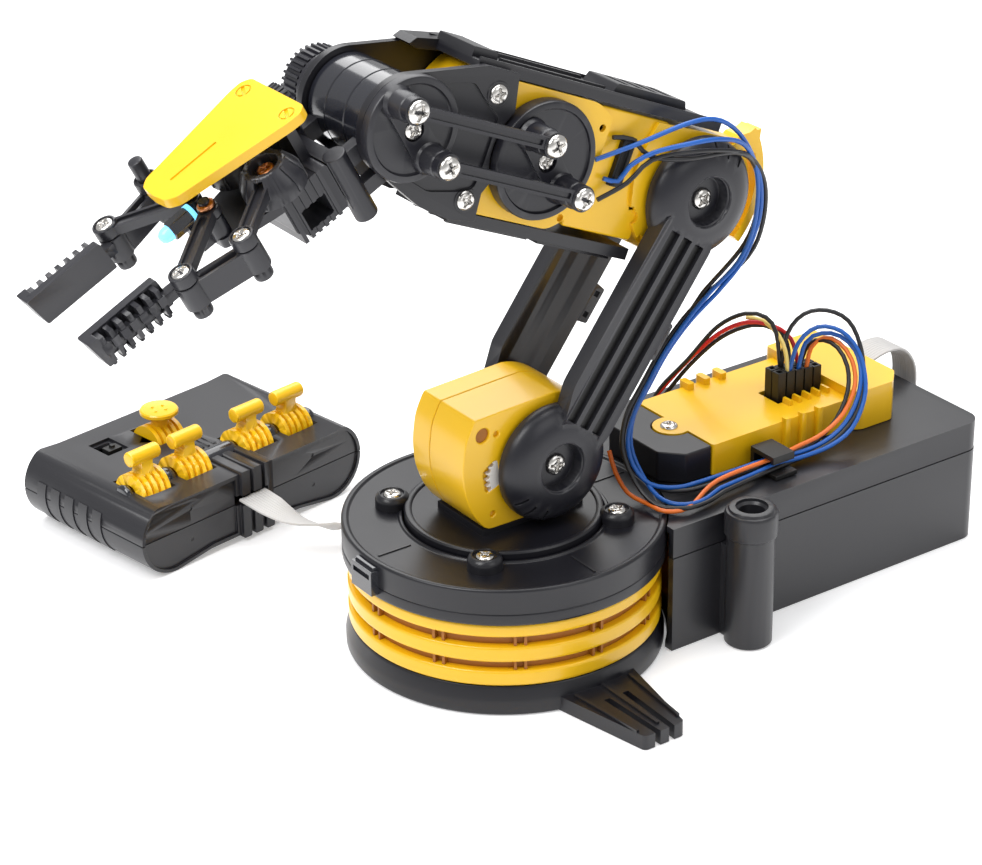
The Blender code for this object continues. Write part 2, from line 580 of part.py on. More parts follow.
def make_controller():
    at = axis_empty("controller_frame", CTRL_AT, CTRL_DEG, None, "Z")
    slab_low = box(-30, 120, -10, 90, -10, CTRL_SEAM + GAP)
    slab_high = box(-30, 120, -10, 90, CTRL_SEAM, 60)
    ribs = [prism([(u, 1.2), (u + 3.4, 1.2), (u + 3.4, 25.6), (u, 25.6)], -1.4, 16, "y")
            for u in (34.5, 40.3, 46.1)]
    cavity = prism(dogbone(2.4), 2.4, CTRL_DEPTH - 2.4, "y")
    axle = rod(LEVER_M, LEVER_Z, 3.4, -2.5, 83.0, "x", 18)
    windows = [box(u - 6.9, u + 6.9, LEVER_M - 8.4, LEVER_M + 8.4, 13, 40) for u in LEVER_U]
    knob_window = box(KNOB_U - 6.9, KNOB_U + 6.9, KNOB_M - 8.4, KNOB_M + 8.4, 13, 40)
    switch_window = box(SWITCH_U - 3.4, SWITCH_U + 3.4, SWITCH_M - 4.6, SWITCH_M + 4.6, 13, 40)
    low_cut = [slab_high, prism(dogbone(2.4), 2.4, CTRL_DEPTH - 2.4, "y")]
    slots = [box(u - 6.9, u + 6.9, LEVER_M - 8.4, LEVER_M + 8.4, 12, 40) for u in LEVER_U]
    part("controller_bottom", prism(dogbone(), 0, CTRL_DEPTH, "y"),
         [prism([(u, 1.2), (u + 3.4, 1.2), (u + 3.4, 25.6), (u, 25.6)], -1.4, 16, "y")
          for u in (34.5, 40.3, 46.1)], low_cut + slots, at)
    obj = part("controller_top", prism(dogbone(), 0, CTRL_DEPTH, "y"), ribs,
               [slab_low, cavity, knob_window, switch_window,
                box(32.4, 45.8, -3, 4, 13, 17.6)] + windows, at)
    tool = to_object("controller_axle", axle, at)
    tool.hide_render = True
    tool.display_type = "WIRE"
    mod = obj.modifiers.new("axle", "BOOLEAN")
    mod.operation, mod.solver, mod.object = "UNION", "EXACT", tool

    for k, u in enumerate(LEVER_U):
        axis = axis_empty(f"lever_{k + 1}_axis", (u, LEVER_M, LEVER_Z), 0, at)
        part(f"lever_{k + 1}", lathe([(3.8, -6.4), (HUB_R, -6.4), (HUB_R, 6.4), (3.8, 6.4)],
                                     axis="x", n=20),
             [box(-2.6, 2.6, -2.3, 2.3, 6.5, 13), rod(0, 13.6, 2.7, -6.2, 6.2, "x", 10)],
             (), axis, YELLOW, 0.3)
    axis = axis_empty("knob_axis", (KNOB_U, KNOB_M, LEVER_Z - 1.5), 0, at)
    part("knob", rod(0, 0, HUB_R, -6.4, 6.4, "x", 20),
         [rod(0, 0, 3.0, 5, 11.5, n=12), rod(0, 0, 6.8, 10.6, 12.8, n=20)], (), axis, YELLOW, 0.3)
    part("slide_switch", box(-2.9, 2.9, -2.0, 2.0, -8, 0.6), parent=axis_empty(
        "switch_axis", (SWITCH_U, SWITCH_M - 2.0, CTRL_TOP), 0, at), colour=(0.02, 0.02, 0.02))


# ---------------------------------------------------------------- cords

RIBBON_W, RIBBON_T = 12.0, 1.0
RIBBON_ROUTE = (          # a point, and the direction across the strip there
    ((-150.4, -7.5, 51.0), (0, 1, 0)), ((-156, -7.5, 52.2), (0, 1, 0)),
    ((-164, -7, 54.5), (0, 1, 0)), ((-172, -7, 53.0), (0, 1, 0)),
    ((-178, -7.5, 45), (0, 1, 0)), ((-180, -9, 32), (0, 1, 0)),
    ((-182, -13, 19), (0.15, 1, 0)), ((-183, -20, 9.5), (0.5, 1, 0)),
    ((-181, -31, 3.2), (1, 0.6, 0)), ((-174, -45, 1.2), (1, 0.75, 0)),
    ((-159, -57, 0.9), (0.6, 1, 0)), ((-134, -63, 0.9), (0.2, 1, 0)),
    ((-106, -65, 0.9), (0.1, 1, 0)), ((-78, -67, 1.0), (0.1, 1, 0)),
    ((-54, -68.5, 1.4), (0.1, 1, 0)), ((-34, -71, 3.6), (0.1, 1, 0)),
    ((-18, -73, 6.6), (0.1, 1, 0)), ((-4, -74.6, 8.2), (0.18, 1, 0.05)),
    ((6, -76.8, 8.6), (0.3, 0.8, 0.4)), ((14, -80.5, 8.8), (0.455, 0.6, 0.6)),
    ((21, -86, 10.0), (0.42, 0.83, 0.34)), ((26, -90.5, 12.4), (0.75, 0.65, 0.1)),
    ((29.4, -96.5, 15.0), (0.95, 0.3, 0)), ((31.2, -104.9, 16.2), (0.985, 0.174, 0)))


def make_ribbon():
    """Flat cable from the control block, behind the battery box, round to the controller."""
    points = [Vector(p) for p, _ in RIBBON_ROUTE]
    sides = [Vector(d).normalized() for _, d in RIBBON_ROUTE]
    across = []
    for k, (a, b) in enumerate(zip(points, points[1:])):
        n = max(2, round((b - a).length / 9.0))
        across += [sides[k].lerp(sides[k + 1], i / n) for i in range(n)]
    ribbon("ribbon_cable", smooth_route(points, 9.0), across + [sides[-1]],
           RIBBON_W, RIBBON_T, (0.75, 0.75, 0.74))


def make_wires():
    """Motor leads: over the elbow, down behind the arm, past the clip and up to the plugs."""
    blue, red = (0.02, 0.12, 0.5), (0.6, 0.03, 0.02)
    elbow = [(-28, 17.4, 162.5), (-40, 19.0, 167.5), (-54, 19.5, 168.3), (-67, 19.2, 167.2),
             (-79, 18.2, 161.5), (-87, 17.0, 151), (-89.5, 15.8, 139), (-88, 14.4, 127),
             (-84, 12.0, 115)]
    drop = [(-83.4, 11.6, 113.4), (-73.7, 11.4, 106.1), (-65.3, 10.5, 98.1), (-56.9, 9.0, 87.9),
            (-50.6, 8.0, 77.4)]
    foot_of_drop = [(-50.0, 7.9, 76.4), (-45.6, 8.4, 69.5), (-42.0, 10.5, 61.5), (-42.0, 15, 54),
                    (-45.8, 21, 48.9), (-53.5, 25.2, 47.8)]
    loop = [(-54.4, 25.4, 47.6), (-62, 27.2, 47.6), (-74, 28.6, 48), (-88, 29.2, 48.2),
            (-98, 29.8, 48.0), (-108.6, 30.2, 49), (-117.9, 29.8, 53), (-124.6, 28.2, 59.6),
            (-128.2, 25.6, 66.6), (-129.7, 20.5, 72.8), (-127.7, 14.5, 76.8), (-123.7, 9.5, 77),
            (-119.9, 6.0, 73.6), (-118.2, 4.3, 65.8)]
    battery = [(-112, 4, 66.2), (-111, 0, 76), (-106, -7, 81.5), (-100, -15, 76),
               (-93.5, -23.5, 63.5), (-87.5, -29, 51), (-84, -31, 46.2)]
    wire("wire_elbow", elbow, 1.7, blue)
    wire("wire_drop_upper", drop, 1.7, blue)
    wire("wire_drop_lower", foot_of_drop, 1.7, blue)
    wire("wire_loop", loop, 1.7, blue)
    wire("wire_battery", battery, 1.7, red)


# ---------------------------------------------------------------- build

turntable = axis_empty("turntable_axis", (0, 0, 0))
upper = axis_empty("upper_arm_axis", SHOULDER, UPPER_DEG)
fore = axis_empty("forearm_axis", (UPPER_LEN, 0, 0), FORE_DEG - UPPER_DEG, upper)
drive = axis_empty("drive_axis", (DRIVE_AT, 0, 0), 0, fore)
hand = axis_empty("hand_axis", (WRIST_AT, 0, 0), HAND_DEG - FORE_DEG, fore)

make_base()
make_battery_box()
make_controls_on_lid()
make_shoulder(turntable, upper)
arm("upper_arm_left", 1, upper)
arm("upper_arm_right", -1, upper)
make_forearm(fore)
make_wrist(fore, drive, hand)
make_hand(hand)
make_gripper(hand)
make_controller()
make_ribbon()
make_wires()
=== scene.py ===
import json
from math import atan2, cos, degrees, pi, radians, sin, sqrt

import bmesh
import bpy
from mathutils import Matrix, Vector


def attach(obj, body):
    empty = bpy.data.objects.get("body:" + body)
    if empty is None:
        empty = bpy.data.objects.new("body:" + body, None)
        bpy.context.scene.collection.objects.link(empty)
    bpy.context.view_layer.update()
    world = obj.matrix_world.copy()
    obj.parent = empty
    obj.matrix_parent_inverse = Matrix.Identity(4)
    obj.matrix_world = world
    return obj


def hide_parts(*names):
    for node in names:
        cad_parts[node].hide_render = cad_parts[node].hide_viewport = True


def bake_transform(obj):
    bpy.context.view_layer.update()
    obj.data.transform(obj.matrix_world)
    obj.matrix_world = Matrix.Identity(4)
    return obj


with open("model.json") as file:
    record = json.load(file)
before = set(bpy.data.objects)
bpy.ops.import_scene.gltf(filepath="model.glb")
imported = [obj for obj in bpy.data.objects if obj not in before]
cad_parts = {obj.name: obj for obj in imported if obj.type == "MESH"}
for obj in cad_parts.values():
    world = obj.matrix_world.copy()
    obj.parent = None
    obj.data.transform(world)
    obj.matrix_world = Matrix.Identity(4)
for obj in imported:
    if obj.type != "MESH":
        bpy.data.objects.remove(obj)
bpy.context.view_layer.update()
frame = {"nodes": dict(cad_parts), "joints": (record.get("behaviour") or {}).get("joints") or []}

MM = 0.001
GAP = 0.3

# ---------------------------------------------------------------- places, from the frame

JOINTS = {j["name"]: j for j in frame["joints"]}


def joint_at(name):
    """A joint's point in millimetres."""
    return Vector(JOINTS[name]["pos_m"]) / MM


def frame_at(origin, deg, about="Y"):
    """A local frame: its X turned up by deg (about Y) or round by deg (about Z)."""
    turn = Matrix.Rotation(radians(-deg if about == "Y" else deg), 4, about)
    return Matrix.Translation(origin) @ turn


def slope(a, b):
    """The angle, in degrees, of the line from a up to b."""
    return degrees(atan2(b.z - a.z, b.x - a.x))


SHOULDER, ELBOW, WRIST = joint_at("shoulder"), joint_at("elbow"), joint_at("wrist")
DRIVE = joint_at("wrist_drive")
ARM_LEN, DRIVE_AT = (ELBOW - SHOULDER).length, (DRIVE - ELBOW).length
WRIST_AT = (WRIST - ELBOW).length
GRIP_UP = Vector(JOINTS["grip_left"]["axis"])
HAND_DEG = degrees(atan2(GRIP_UP.z, GRIP_UP.x)) - 90
FORE_DEG = slope(ELBOW, WRIST)
CTRL_U = Vector(JOINTS["lever_1"]["axis"])
CTRL_DEG = degrees(atan2(CTRL_U.y, CTRL_U.x))

WORLD = Matrix.Identity(4)
S_FRAME = frame_at(SHOULDER, 0)
A_FRAME = frame_at(SHOULDER, slope(SHOULDER, ELBOW))
F_FRAME = frame_at(ELBOW, FORE_DEG)
D_FRAME = frame_at(DRIVE, FORE_DEG)
H_FRAME = frame_at(WRIST, HAND_DEG)

# The controller's own frame: U along its width, M along its depth, Z up from its underside.
LEVER_U, LEVER_M, LEVER_Z = (7.5, 26.0, 54.0, 72.5), 18.0, 23.5
CTRL_TURN = Matrix.Rotation(radians(CTRL_DEG), 4, "Z")
CTRL_CORNER = joint_at("lever_1") - CTRL_TURN @ Vector((LEVER_U[0], LEVER_M, LEVER_Z))
C_FRAME = Matrix.Translation(CTRL_CORNER) @ CTRL_TURN


# ---------------------------------------------------------------- outlines and solids

def arc(cx, cy, r, a0, a1, n):
    """Points on a circle from a0 to a1 degrees."""
    step = (a1 - a0) / n
    return [(cx + r * cos(radians(a0 + step * i)), cy + r * sin(radians(a0 + step * i)))
            for i in range(n + 1)]


def disc(cx, cy, r, n=64):
    return arc(cx, cy, r, 0, 360, n)[:-1]


def rounded(pts, r, n=4):
    """An outline with its corners rounded."""
    out = []
    for i, p in enumerate(pts):
        p, a, b = Vector(p), Vector(pts[i - 1]), Vector(pts[(i + 1) % len(pts)])
        u, v = (a - p), (b - p)
        cut = min(r, u.length * 0.45, v.length * 0.45)
        u, v = u.normalized() * cut, v.normalized() * cut
        for k in range(n + 1):
            t = k / n
            out.append(tuple(p + u * (1 - t) ** 2 + v * t ** 2))
    return out


def place(p, axis, h):
    """A point of an outline, at the height h along an axis."""
    if axis == "z":
        return (p[0], p[1], h)
    return (p[0], h, p[1]) if axis == "y" else (h, p[0], p[1])


def closed(faces):
    """A closed mesh from its faces, each a list of points."""
    bm = bmesh.new()
    for poly in faces:
        bm.faces.new([bm.verts.new(Vector(p)) for p in poly])
    bmesh.ops.remove_doubles(bm, verts=bm.verts, dist=1e-4)
    bmesh.ops.recalc_face_normals(bm, faces=bm.faces)
    return bm


def prism(pts, lo, hi, axis="z"):
    """An outline drawn out along an axis."""
    n = len(pts)
    low = [place(p, axis, lo) for p in pts]
    high = [place(p, axis, hi) for p in pts]
    sides = [[low[i], low[(i + 1) % n], high[(i + 1) % n], high[i]] for i in range(n)]
    return closed([low[::-1], high] + sides)


def soft_prism(pts, r, lo, hi, axis="z", n=4):
    """A prism with its outline's corners rounded."""
    return prism(rounded(pts, r, n), lo, hi, axis)


def box(x0, x1, y0, y1, z0, z1):
    return prism([(x0, y0), (x1, y0), (x1, y1), (x0, y1)], z0, z1)


def rod(cx, cy, r, lo, hi, axis="z", n=40):
    return prism(disc(cx, cy, r, n), lo, hi, axis)


def lathe(profile, cx=0.0, cy=0.0, axis="z", n=96):
    """A closed (radius, height) profile turned round an axis."""
    rings = []
    for k in range(n):
        a = 2 * pi * k / n
        rings.append([place((cx + r * cos(a), cy + r * sin(a)), axis, h) for r, h in profile])
    faces, m = [], len(profile)
    for k in range(n):
        here, there = rings[k], rings[(k + 1) % n]
        for i in range(m):
            j = (i + 1) % m
            if profile[i][0] == 0 and profile[j][0] == 0:
                continue
            quad = [here[i], here[j], there[j], there[i]]
            if profile[i][0] == 0:
                quad = [here[i], here[j], there[j]]
            elif profile[j][0] == 0:
                quad = [here[i], here[j], there[i]]
            faces.append(quad)
    return closed(faces)


def soft_rod(cx, cy, r, lo, hi, axis="z", n=48, edge=0.5):
    """A cylinder with rounded rims."""
    prof = [(0, lo), (r - edge, lo), (r - edge * 0.3, lo + edge * 0.3), (r, lo + edge),
            (r, hi - edge), (r - edge * 0.3, hi - edge * 0.3), (r - edge, hi), (0, hi)]
    return lathe(prof, cx, cy, axis, n)


def bar(p, q, half, lo, hi, axis="z", n=12):
    """A bar from p to q with round ends."""
    turn = degrees(atan2(q[1] - p[1], q[0] - p[0]))
    pts = arc(q[0], q[1], half, turn - 90, turn + 90, n)
    pts += arc(p[0], p[1], half, turn + 90, turn + 270, n)
    return prism(pts, lo, hi, axis)


def moved(bm, matrix):
    bmesh.ops.transform(bm, matrix=matrix, verts=bm.verts)
    return bm


def span(sign, a, b):
    """Two heights on one side of the middle plane, the lower first."""
    return sorted((a * sign, b * sign))


def merged(solids):
    """Several solids as one mesh, not joined; the parts are used up."""
    bm = bmesh.new()
    for part in solids:
        mesh = bpy.data.meshes.new("tmp")
        part.to_mesh(mesh)
        part.free()
        bm.from_mesh(mesh)
        bpy.data.meshes.remove(mesh)
    return bm


def temp_object(bm):
    mesh = bpy.data.meshes.new("tmp")
    bm.to_mesh(mesh)
    bm.free()
    obj = bpy.data.objects.new("tmp", mesh)
    bpy.context.scene.collection.objects.link(obj)
    return obj


def solid(base, add=(), cut=(), bevel=0.35, steps=2, sharp=32):
    """The mesh of a solid with others joined and cut away, its edges rounded, in millimetres."""
    obj = temp_object(base)
    tools = []
    for kind, parts in (("UNION", add), ("DIFFERENCE", cut)):
        if parts:
            tool = temp_object(merged(parts))
            mod = obj.modifiers.new(kind, "BOOLEAN")
            mod.operation, mod.solver, mod.object = kind, "EXACT", tool
            mod.use_self = len(parts) > 1
            tools.append(tool)
    if bevel:
        mod = obj.modifiers.new("edge", "BEVEL")
        mod.width, mod.segments = bevel, steps
        mod.limit_method, mod.angle_limit = "ANGLE", radians(sharp)
        mod.use_clamp_overlap = True
    mesh = evaluated(obj)
    for old in [obj] + tools:
        bpy.data.objects.remove(old, do_unlink=True)
    return smoothed(mesh)


def evaluated(obj):
    """A new mesh of the object with its modifiers applied."""
    depsgraph = bpy.context.evaluated_depsgraph_get()
    return bpy.data.meshes.new_from_object(obj.evaluated_get(depsgraph))


def smoothed(mesh):
    """The mesh shaded smooth over its rounded edges, with its wide faces kept flat."""
    mesh.shade_smooth()
    mesh.set_sharp_from_angle(angle=radians(50))
    obj = bpy.data.objects.new("tmp", mesh)
    bpy.context.scene.collection.objects.link(obj)
    mod = obj.modifiers.new("normals", "WEIGHTED_NORMAL")
    mod.mode, mod.weight, mod.keep_sharp = "FACE_AREA", 50, True
    made = evaluated(obj)
    bpy.data.objects.remove(obj, do_unlink=True)
    bpy.data.meshes.remove(mesh)
    return made


def piece(name, mesh, body, look, at=WORLD, replaces=()):
    """Puts a mesh made in a local frame of millimetres into the scene, riding on a body."""
    if isinstance(mesh, bmesh.types.BMesh):
        bm, mesh = mesh, bpy.data.meshes.new(name)
        bm.to_mesh(mesh)
        bm.free()
        mesh = smoothed(mesh)
    mesh.transform(Matrix.Scale(MM, 4) @ at)
    mesh.materials.clear()
    mesh.materials.append(look)
    obj = bpy.data.objects.new(name, mesh)
    bpy.context.scene.collection.objects.link(obj)
    if body:
        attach(obj, body)
    if replaces:
        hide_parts(*replaces)
    return obj


def skin(node, mesh, body, look, at=WORLD):
    """A piece that stands for one CAD node."""
    return piece(f"{node}_skin", mesh, body, look, at, [node])


# ---------------------------------------------------------------- looks

def shader_of(mat):
    return mat.node_tree.nodes["Principled BSDF"]


def plastic(name, colour, rough, coat=0.0, grain=0.02, grain_size=2600, mottle=0.06,
            specular=0.5, wear=0.0):
    """Moulded plastic: fine grain, faint mottling, softly uneven gloss and paler worn edges."""
    mat = bpy.data.materials.new(name)
    mat.use_nodes = True
    nodes, links = mat.node_tree.nodes, mat.node_tree.links
    shader = shader_of(mat)
    shader.inputs["Specular IOR Level"].default_value = specular
    shader.inputs["Coat Weight"].default_value = coat
    shader.inputs["Coat Roughness"].default_value = 0.12
    where = nodes.new("ShaderNodeTexCoord")
    wide = nodes.new("ShaderNodeTexNoise")
    wide.inputs["Scale"].default_value = 45
    wide.inputs["Detail"].default_value = 4
    fine = nodes.new("ShaderNodeTexNoise")
    fine.inputs["Scale"].default_value = grain_size
    fine.inputs["Detail"].default_value = 2
    for tex in (wide, fine):
        links.new(where.outputs["Object"], tex.inputs["Vector"])
    tint = nodes.new("ShaderNodeValToRGB")
    for k, at, gain in ((0, 0.3, 1 - mottle), (1, 0.7, 1 + mottle)):
        tint.color_ramp.elements[k].position = at
        tint.color_ramp.elements[k].color = (*[min(1, c * gain) for c in colour], 1)
    links.new(wide.outputs["Fac"], tint.inputs["Fac"])
    if wear:
        edges = nodes.new("ShaderNodeNewGeometry")
        ramp = nodes.new("ShaderNodeValToRGB")
        ramp.color_ramp.elements[0].position, ramp.color_ramp.elements[1].position = 0.52, 0.62
        links.new(edges.outputs["Pointiness"], ramp.inputs["Fac"])
        mix = nodes.new("ShaderNodeMix")
        mix.data_type = "RGBA"
        mix.inputs["B"].default_value = (*[min(1, c + wear) for c in colour], 1)
        links.new(tint.outputs["Color"], mix.inputs["A"])
        links.new(ramp.outputs["Color"], mix.inputs["Factor"])
        links.new(mix.outputs["Result"], shader.inputs["Base Color"])
    else:
        links.new(tint.outputs["Color"], shader.inputs["Base Color"])
    gloss = nodes.new("ShaderNodeMapRange")
    gloss.inputs["To Min"].default_value = max(rough - 0.05, 0.02)
    gloss.inputs["To Max"].default_value = rough + 0.08
    links.new(wide.outputs["Fac"], gloss.inputs["Value"])
    links.new(gloss.outputs["Result"], shader.inputs["Roughness"])
    bump = nodes.new("ShaderNodeBump")
    bump.inputs["Strength"].default_value = grain * 10
    bump.inputs["Distance"].default_value = 0.00002
    links.new(fine.outputs["Fac"], bump.inputs["Height"])
    links.new(bump.outputs["Normal"], shader.inputs["Normal"])
    return mat


def metal(name, colour, rough, scratch=90):
    """Plated or drawn metal with faint scratches."""
    mat = plastic(name, colour, rough, mottle=0.1, grain_size=scratch * 20, grain=0.01)
    shader_of(mat).inputs["Metallic"].default_value = 1.0
    return mat


def glow(name, colour, strength):
    """Lit, clear plastic."""
    mat = plastic(name, colour, 0.1)
    shader = shader_of(mat)
    shader.inputs["Emission Color"].default_value = (*colour, 1)
    shader.inputs["Emission Strength"].default_value = strength
    return mat


YELLOW = plastic("yellow_moulding", (0.86, 0.50, 0.006), 0.3, coat=0.25, mottle=0.025, grain=0.006)
# A darker, browner copy of the yellow moulding, used as painted shade in recesses.
YELLOW_PAINTED_SHADE = plastic("yellow_in_shade", (0.34, 0.12, 0.008), 0.5, mottle=0.05)
BLACK = plastic("charcoal_moulding", (0.008, 0.008, 0.0115), 0.32, grain=0.03, mottle=0.08, wear=0.012)
GLOSSY = plastic("polished_charcoal", (0.014, 0.015, 0.021), 0.16, coat=0.7, grain=0.01)
GREY = plastic("arm_charcoal", (0.011, 0.011, 0.016), 0.32, grain=0.03, mottle=0.1, wear=0.014)
# Near-black: the own colour of the plugs, clip and switch, and painted shade on the upper arm's groove
# floors.
DARK = plastic("plug_black_and_groove_shade", (0.005, 0.005, 0.005), 0.45, grain=0.02)
STEEL = metal("plated_screws", (0.72, 0.70, 0.67), 0.2)
COPPER = metal("copper_screw", (0.6, 0.26, 0.12), 0.28)
CAN = metal("motor_can", (0.62, 0.62, 0.64), 0.3)
NYLON = plastic("white_nylon", (0.75, 0.72, 0.68), 0.4, mottle=0.04)
BOARD = plastic("circuit_board", (0.02, 0.15, 0.06), 0.35, mottle=0.2)
CELL = metal("cell_wrap", (0.5, 0.33, 0.12), 0.35)
RIBBON = plastic("ribbon_sheath", (0.50, 0.49, 0.48), 0.5, mottle=0.04)
LEADS = {"blue": plastic("blue_lead", (0.008, 0.10, 0.42), 0.34, mottle=0.08),
         "black": plastic("black_lead", (0.012, 0.012, 0.014), 0.36, mottle=0.08),
         "orange": plastic("orange_lead", (0.75, 0.16, 0.02), 0.36, mottle=0.06),
         "red": plastic("red_lead", (0.62, 0.015, 0.02), 0.34, mottle=0.06),
         "yellow": plastic("cream_lead", (0.85, 0.66, 0.2), 0.36, mottle=0.06)}
LAMP = glow("lamp_lens", (0.18, 0.62, 1.0), 1.3)


# ---------------------------------------------------------------- camera, light and floor

AIM = Vector((0.004713, 0.0, 0.073819))
VIEW_AZ, VIEW_EL, VIEW_ROLL, VIEW_DISTANCE, VIEW_LENS = 144.837, 26.381, -0.646, 0.940, 109.98
LIT_POINT = Vector((-0.02, 0, 0.08))
LIGHTS = (          # name, azimuth, elevation, distance, size and power
    ("key", 95, 50, 1.1, (0.6, 0.6), 8), ("fill", 195, 35, 1.2, (0.7, 0.7), 2),
    ("top", 330, 78, 1.0, (0.9, 0.9), 9), ("rim", 330, 40, 1.2, (0.9, 0.6), 5))
WORLD_LIGHT, FLOOR_HALF, FLOOR_Z, FLOOR_GLOW = 0.5, 4, -0.0002, 0.3


def towards(az, el):
    """The direction of a place seen from the middle, by azimuth and elevation."""
    a, e = radians(az), radians(el)
    return Vector((sin(a) * cos(e), -cos(a) * cos(e), sin(e)))


def make_camera():
    data = bpy.data.cameras.new("camera")
    data.lens, data.sensor_width, data.sensor_fit = VIEW_LENS, 36, "HORIZONTAL"
    data.clip_start, data.clip_end = 0.01, 20
    obj = bpy.data.objects.new("camera", data)
    bpy.context.scene.collection.objects.link(obj)
    out = towards(VIEW_AZ, VIEW_EL)
    obj.location = AIM + out * VIEW_DISTANCE
    turn = out.to_track_quat("Z", "Y").to_matrix().to_4x4()
    obj.matrix_world = (Matrix.Translation(obj.location) @ turn
                        @ Matrix.Rotation(radians(VIEW_ROLL), 4, "Z"))
    bpy.context.scene.camera = obj


def softbox(name, az, el, distance, size, watts):
    """A rectangular lamp that faces the part from an azimuth and elevation."""
    data = bpy.data.lights.new(name, "AREA")
    data.shape, data.size, data.size_y = "RECTANGLE", size[0], size[1]
    data.energy = watts
    obj = bpy.data.objects.new(name, data)
    bpy.context.scene.collection.objects.link(obj)
    out = towards(az, el)
    obj.location = LIT_POINT + out * distance
    obj.rotation_euler = out.to_track_quat("Z", "Y").to_euler()


def make_studio():
    world = bpy.data.worlds.new("studio")
    world.use_nodes = True
    back = world.node_tree.nodes["Background"]
    back.inputs["Color"].default_value = (1, 1, 1, 1)
    back.inputs["Strength"].default_value = WORLD_LIGHT
    bpy.context.scene.world = world
    bpy.context.scene.view_settings.view_transform = "Standard"
    for light in LIGHTS:
        softbox(*light)
    h = FLOOR_HALF
    mesh = bpy.data.meshes.new("floor")
    mesh.from_pydata([(-h, -h, 0), (h, -h, 0), (h, h, 0), (-h, h, 0)], [], [(0, 1, 2, 3)])
    floor = bpy.data.objects.new("floor", mesh)
    bpy.context.scene.collection.objects.link(floor)
    paint = plastic("floor_paint", (0.95, 0.95, 0.96), 0.14, mottle=0.0, grain=0.0)
    shader_of(paint).inputs["Emission Color"].default_value = (1, 1, 1, 1)
    shader_of(paint).inputs["Emission Strength"].default_value = FLOOR_GLOW
    mesh.materials.append(paint)
    floor.location.z = FLOOR_Z


# ---------------------------------------------------------------- cords

RIBBON_W, RIBBON_T, RIBBON_WIRES = 12.0, 1.0, 10
RIBBON_ROUTE = (          # a point in millimetres, and the direction across the strip there
    ((-150.4, -7.5, 51.0), (0, 1, 0)), ((-156, -7.5, 52.2), (0, 1, 0)),
    ((-164, -7, 54.5), (0, 1, 0)), ((-172, -7, 53.0), (0, 1, 0)),
    ((-178, -7.5, 45), (0, 1, 0)), ((-180, -9, 32), (0, 1, 0)),
    ((-182, -13, 19), (0.15, 1, 0)), ((-183, -20, 9.5), (0.5, 1, 0)),
    ((-181, -31, 3.2), (1, 0.6, 0)), ((-174, -45, 1.2), (1, 0.75, 0)),
    ((-159, -57, 0.9), (0.6, 1, 0)), ((-134, -63, 0.9), (0.2, 1, 0)),
    ((-106, -65, 0.9), (0.1, 1, 0)), ((-78, -67, 1.0), (0.1, 1, 0)),
    ((-54, -68.5, 1.4), (0.1, 1, 0)), ((-34, -71, 3.6), (0.1, 1, 0)),
    ((-18, -73, 6.6), (0.1, 1, 0)), ((-4, -74.6, 8.2), (0.18, 1, 0.05)),
    ((6, -76.8, 8.6), (0.3, 0.8, 0.4)), ((14, -80.5, 8.8), (0.455, 0.6, 0.6)),
    ((21, -86, 10.0), (0.42, 0.83, 0.34)), ((26, -90.5, 12.4), (0.75, 0.65, 0.1)),
    ((29.4, -96.5, 15.0), (0.95, 0.3, 0)), ((31.2, -104.9, 16.2), (0.985, 0.174, 0)))
ROUTE_STEP = 2.5
LEAD_R = 0.75


def smooth_route(points, step):
    """Points about step apart along a smooth curve through the given points."""
    pts = [Vector(p) for p in points]
    ends = [pts[0] * 2 - pts[1]] + pts + [pts[-1] * 2 - pts[-2]]
    out = []
    for i in range(1, len(ends) - 2):
        p0, p1, p2, p3 = ends[i - 1:i + 3]
        n = max(2, round((p2 - p1).length / step))
        for k in range(n):
            t = k / n
            out.append(0.5 * (2 * p1 + (p2 - p0) * t + (2 * p0 - 5 * p1 + 4 * p2 - p3) * t * t
                              + (3 * p1 - p0 - 3 * p2 + p3) * t ** 3))
    return out + [pts[-1]]


def swept(points, section, sides):
    """A closed tube whose cross-section is laid out in each point's (side, up) plane."""
    rows, n = [], len(points)
    for i, p in enumerate(points):
        along = (points[min(i + 1, n - 1)] - points[max(i - 1, 0)]).normalized()
        side = (sides[i] - along * sides[i].dot(along)).normalized()
        up = along.cross(side)
        rows.append([p + side * x + up * z for x, z in section])
    faces, m = [rows[0][::-1], rows[-1]], len(section)
    for here, there in zip(rows, rows[1:]):
        faces += [[here[k], here[(k + 1) % m], there[(k + 1) % m], there[k]] for k in range(m)]
    return closed(faces)


def lead(points):
    """A round lead along a smooth curve."""
    route = smooth_route(points, 3.0)
    side = Vector((0, 1, 0)) if abs((route[1] - route[0]).normalized().y) < 0.8 else Vector((1, 0, 0))
    sides = []
    for a, b in zip(route, route[1:] + [route[-1] * 2 - route[-2]]):
        along = (b - a).normalized()
        side = (side - along * side.dot(along)).normalized()
        sides.append(side.copy())
    return swept(route, disc(0, 0, LEAD_R, 12), sides)


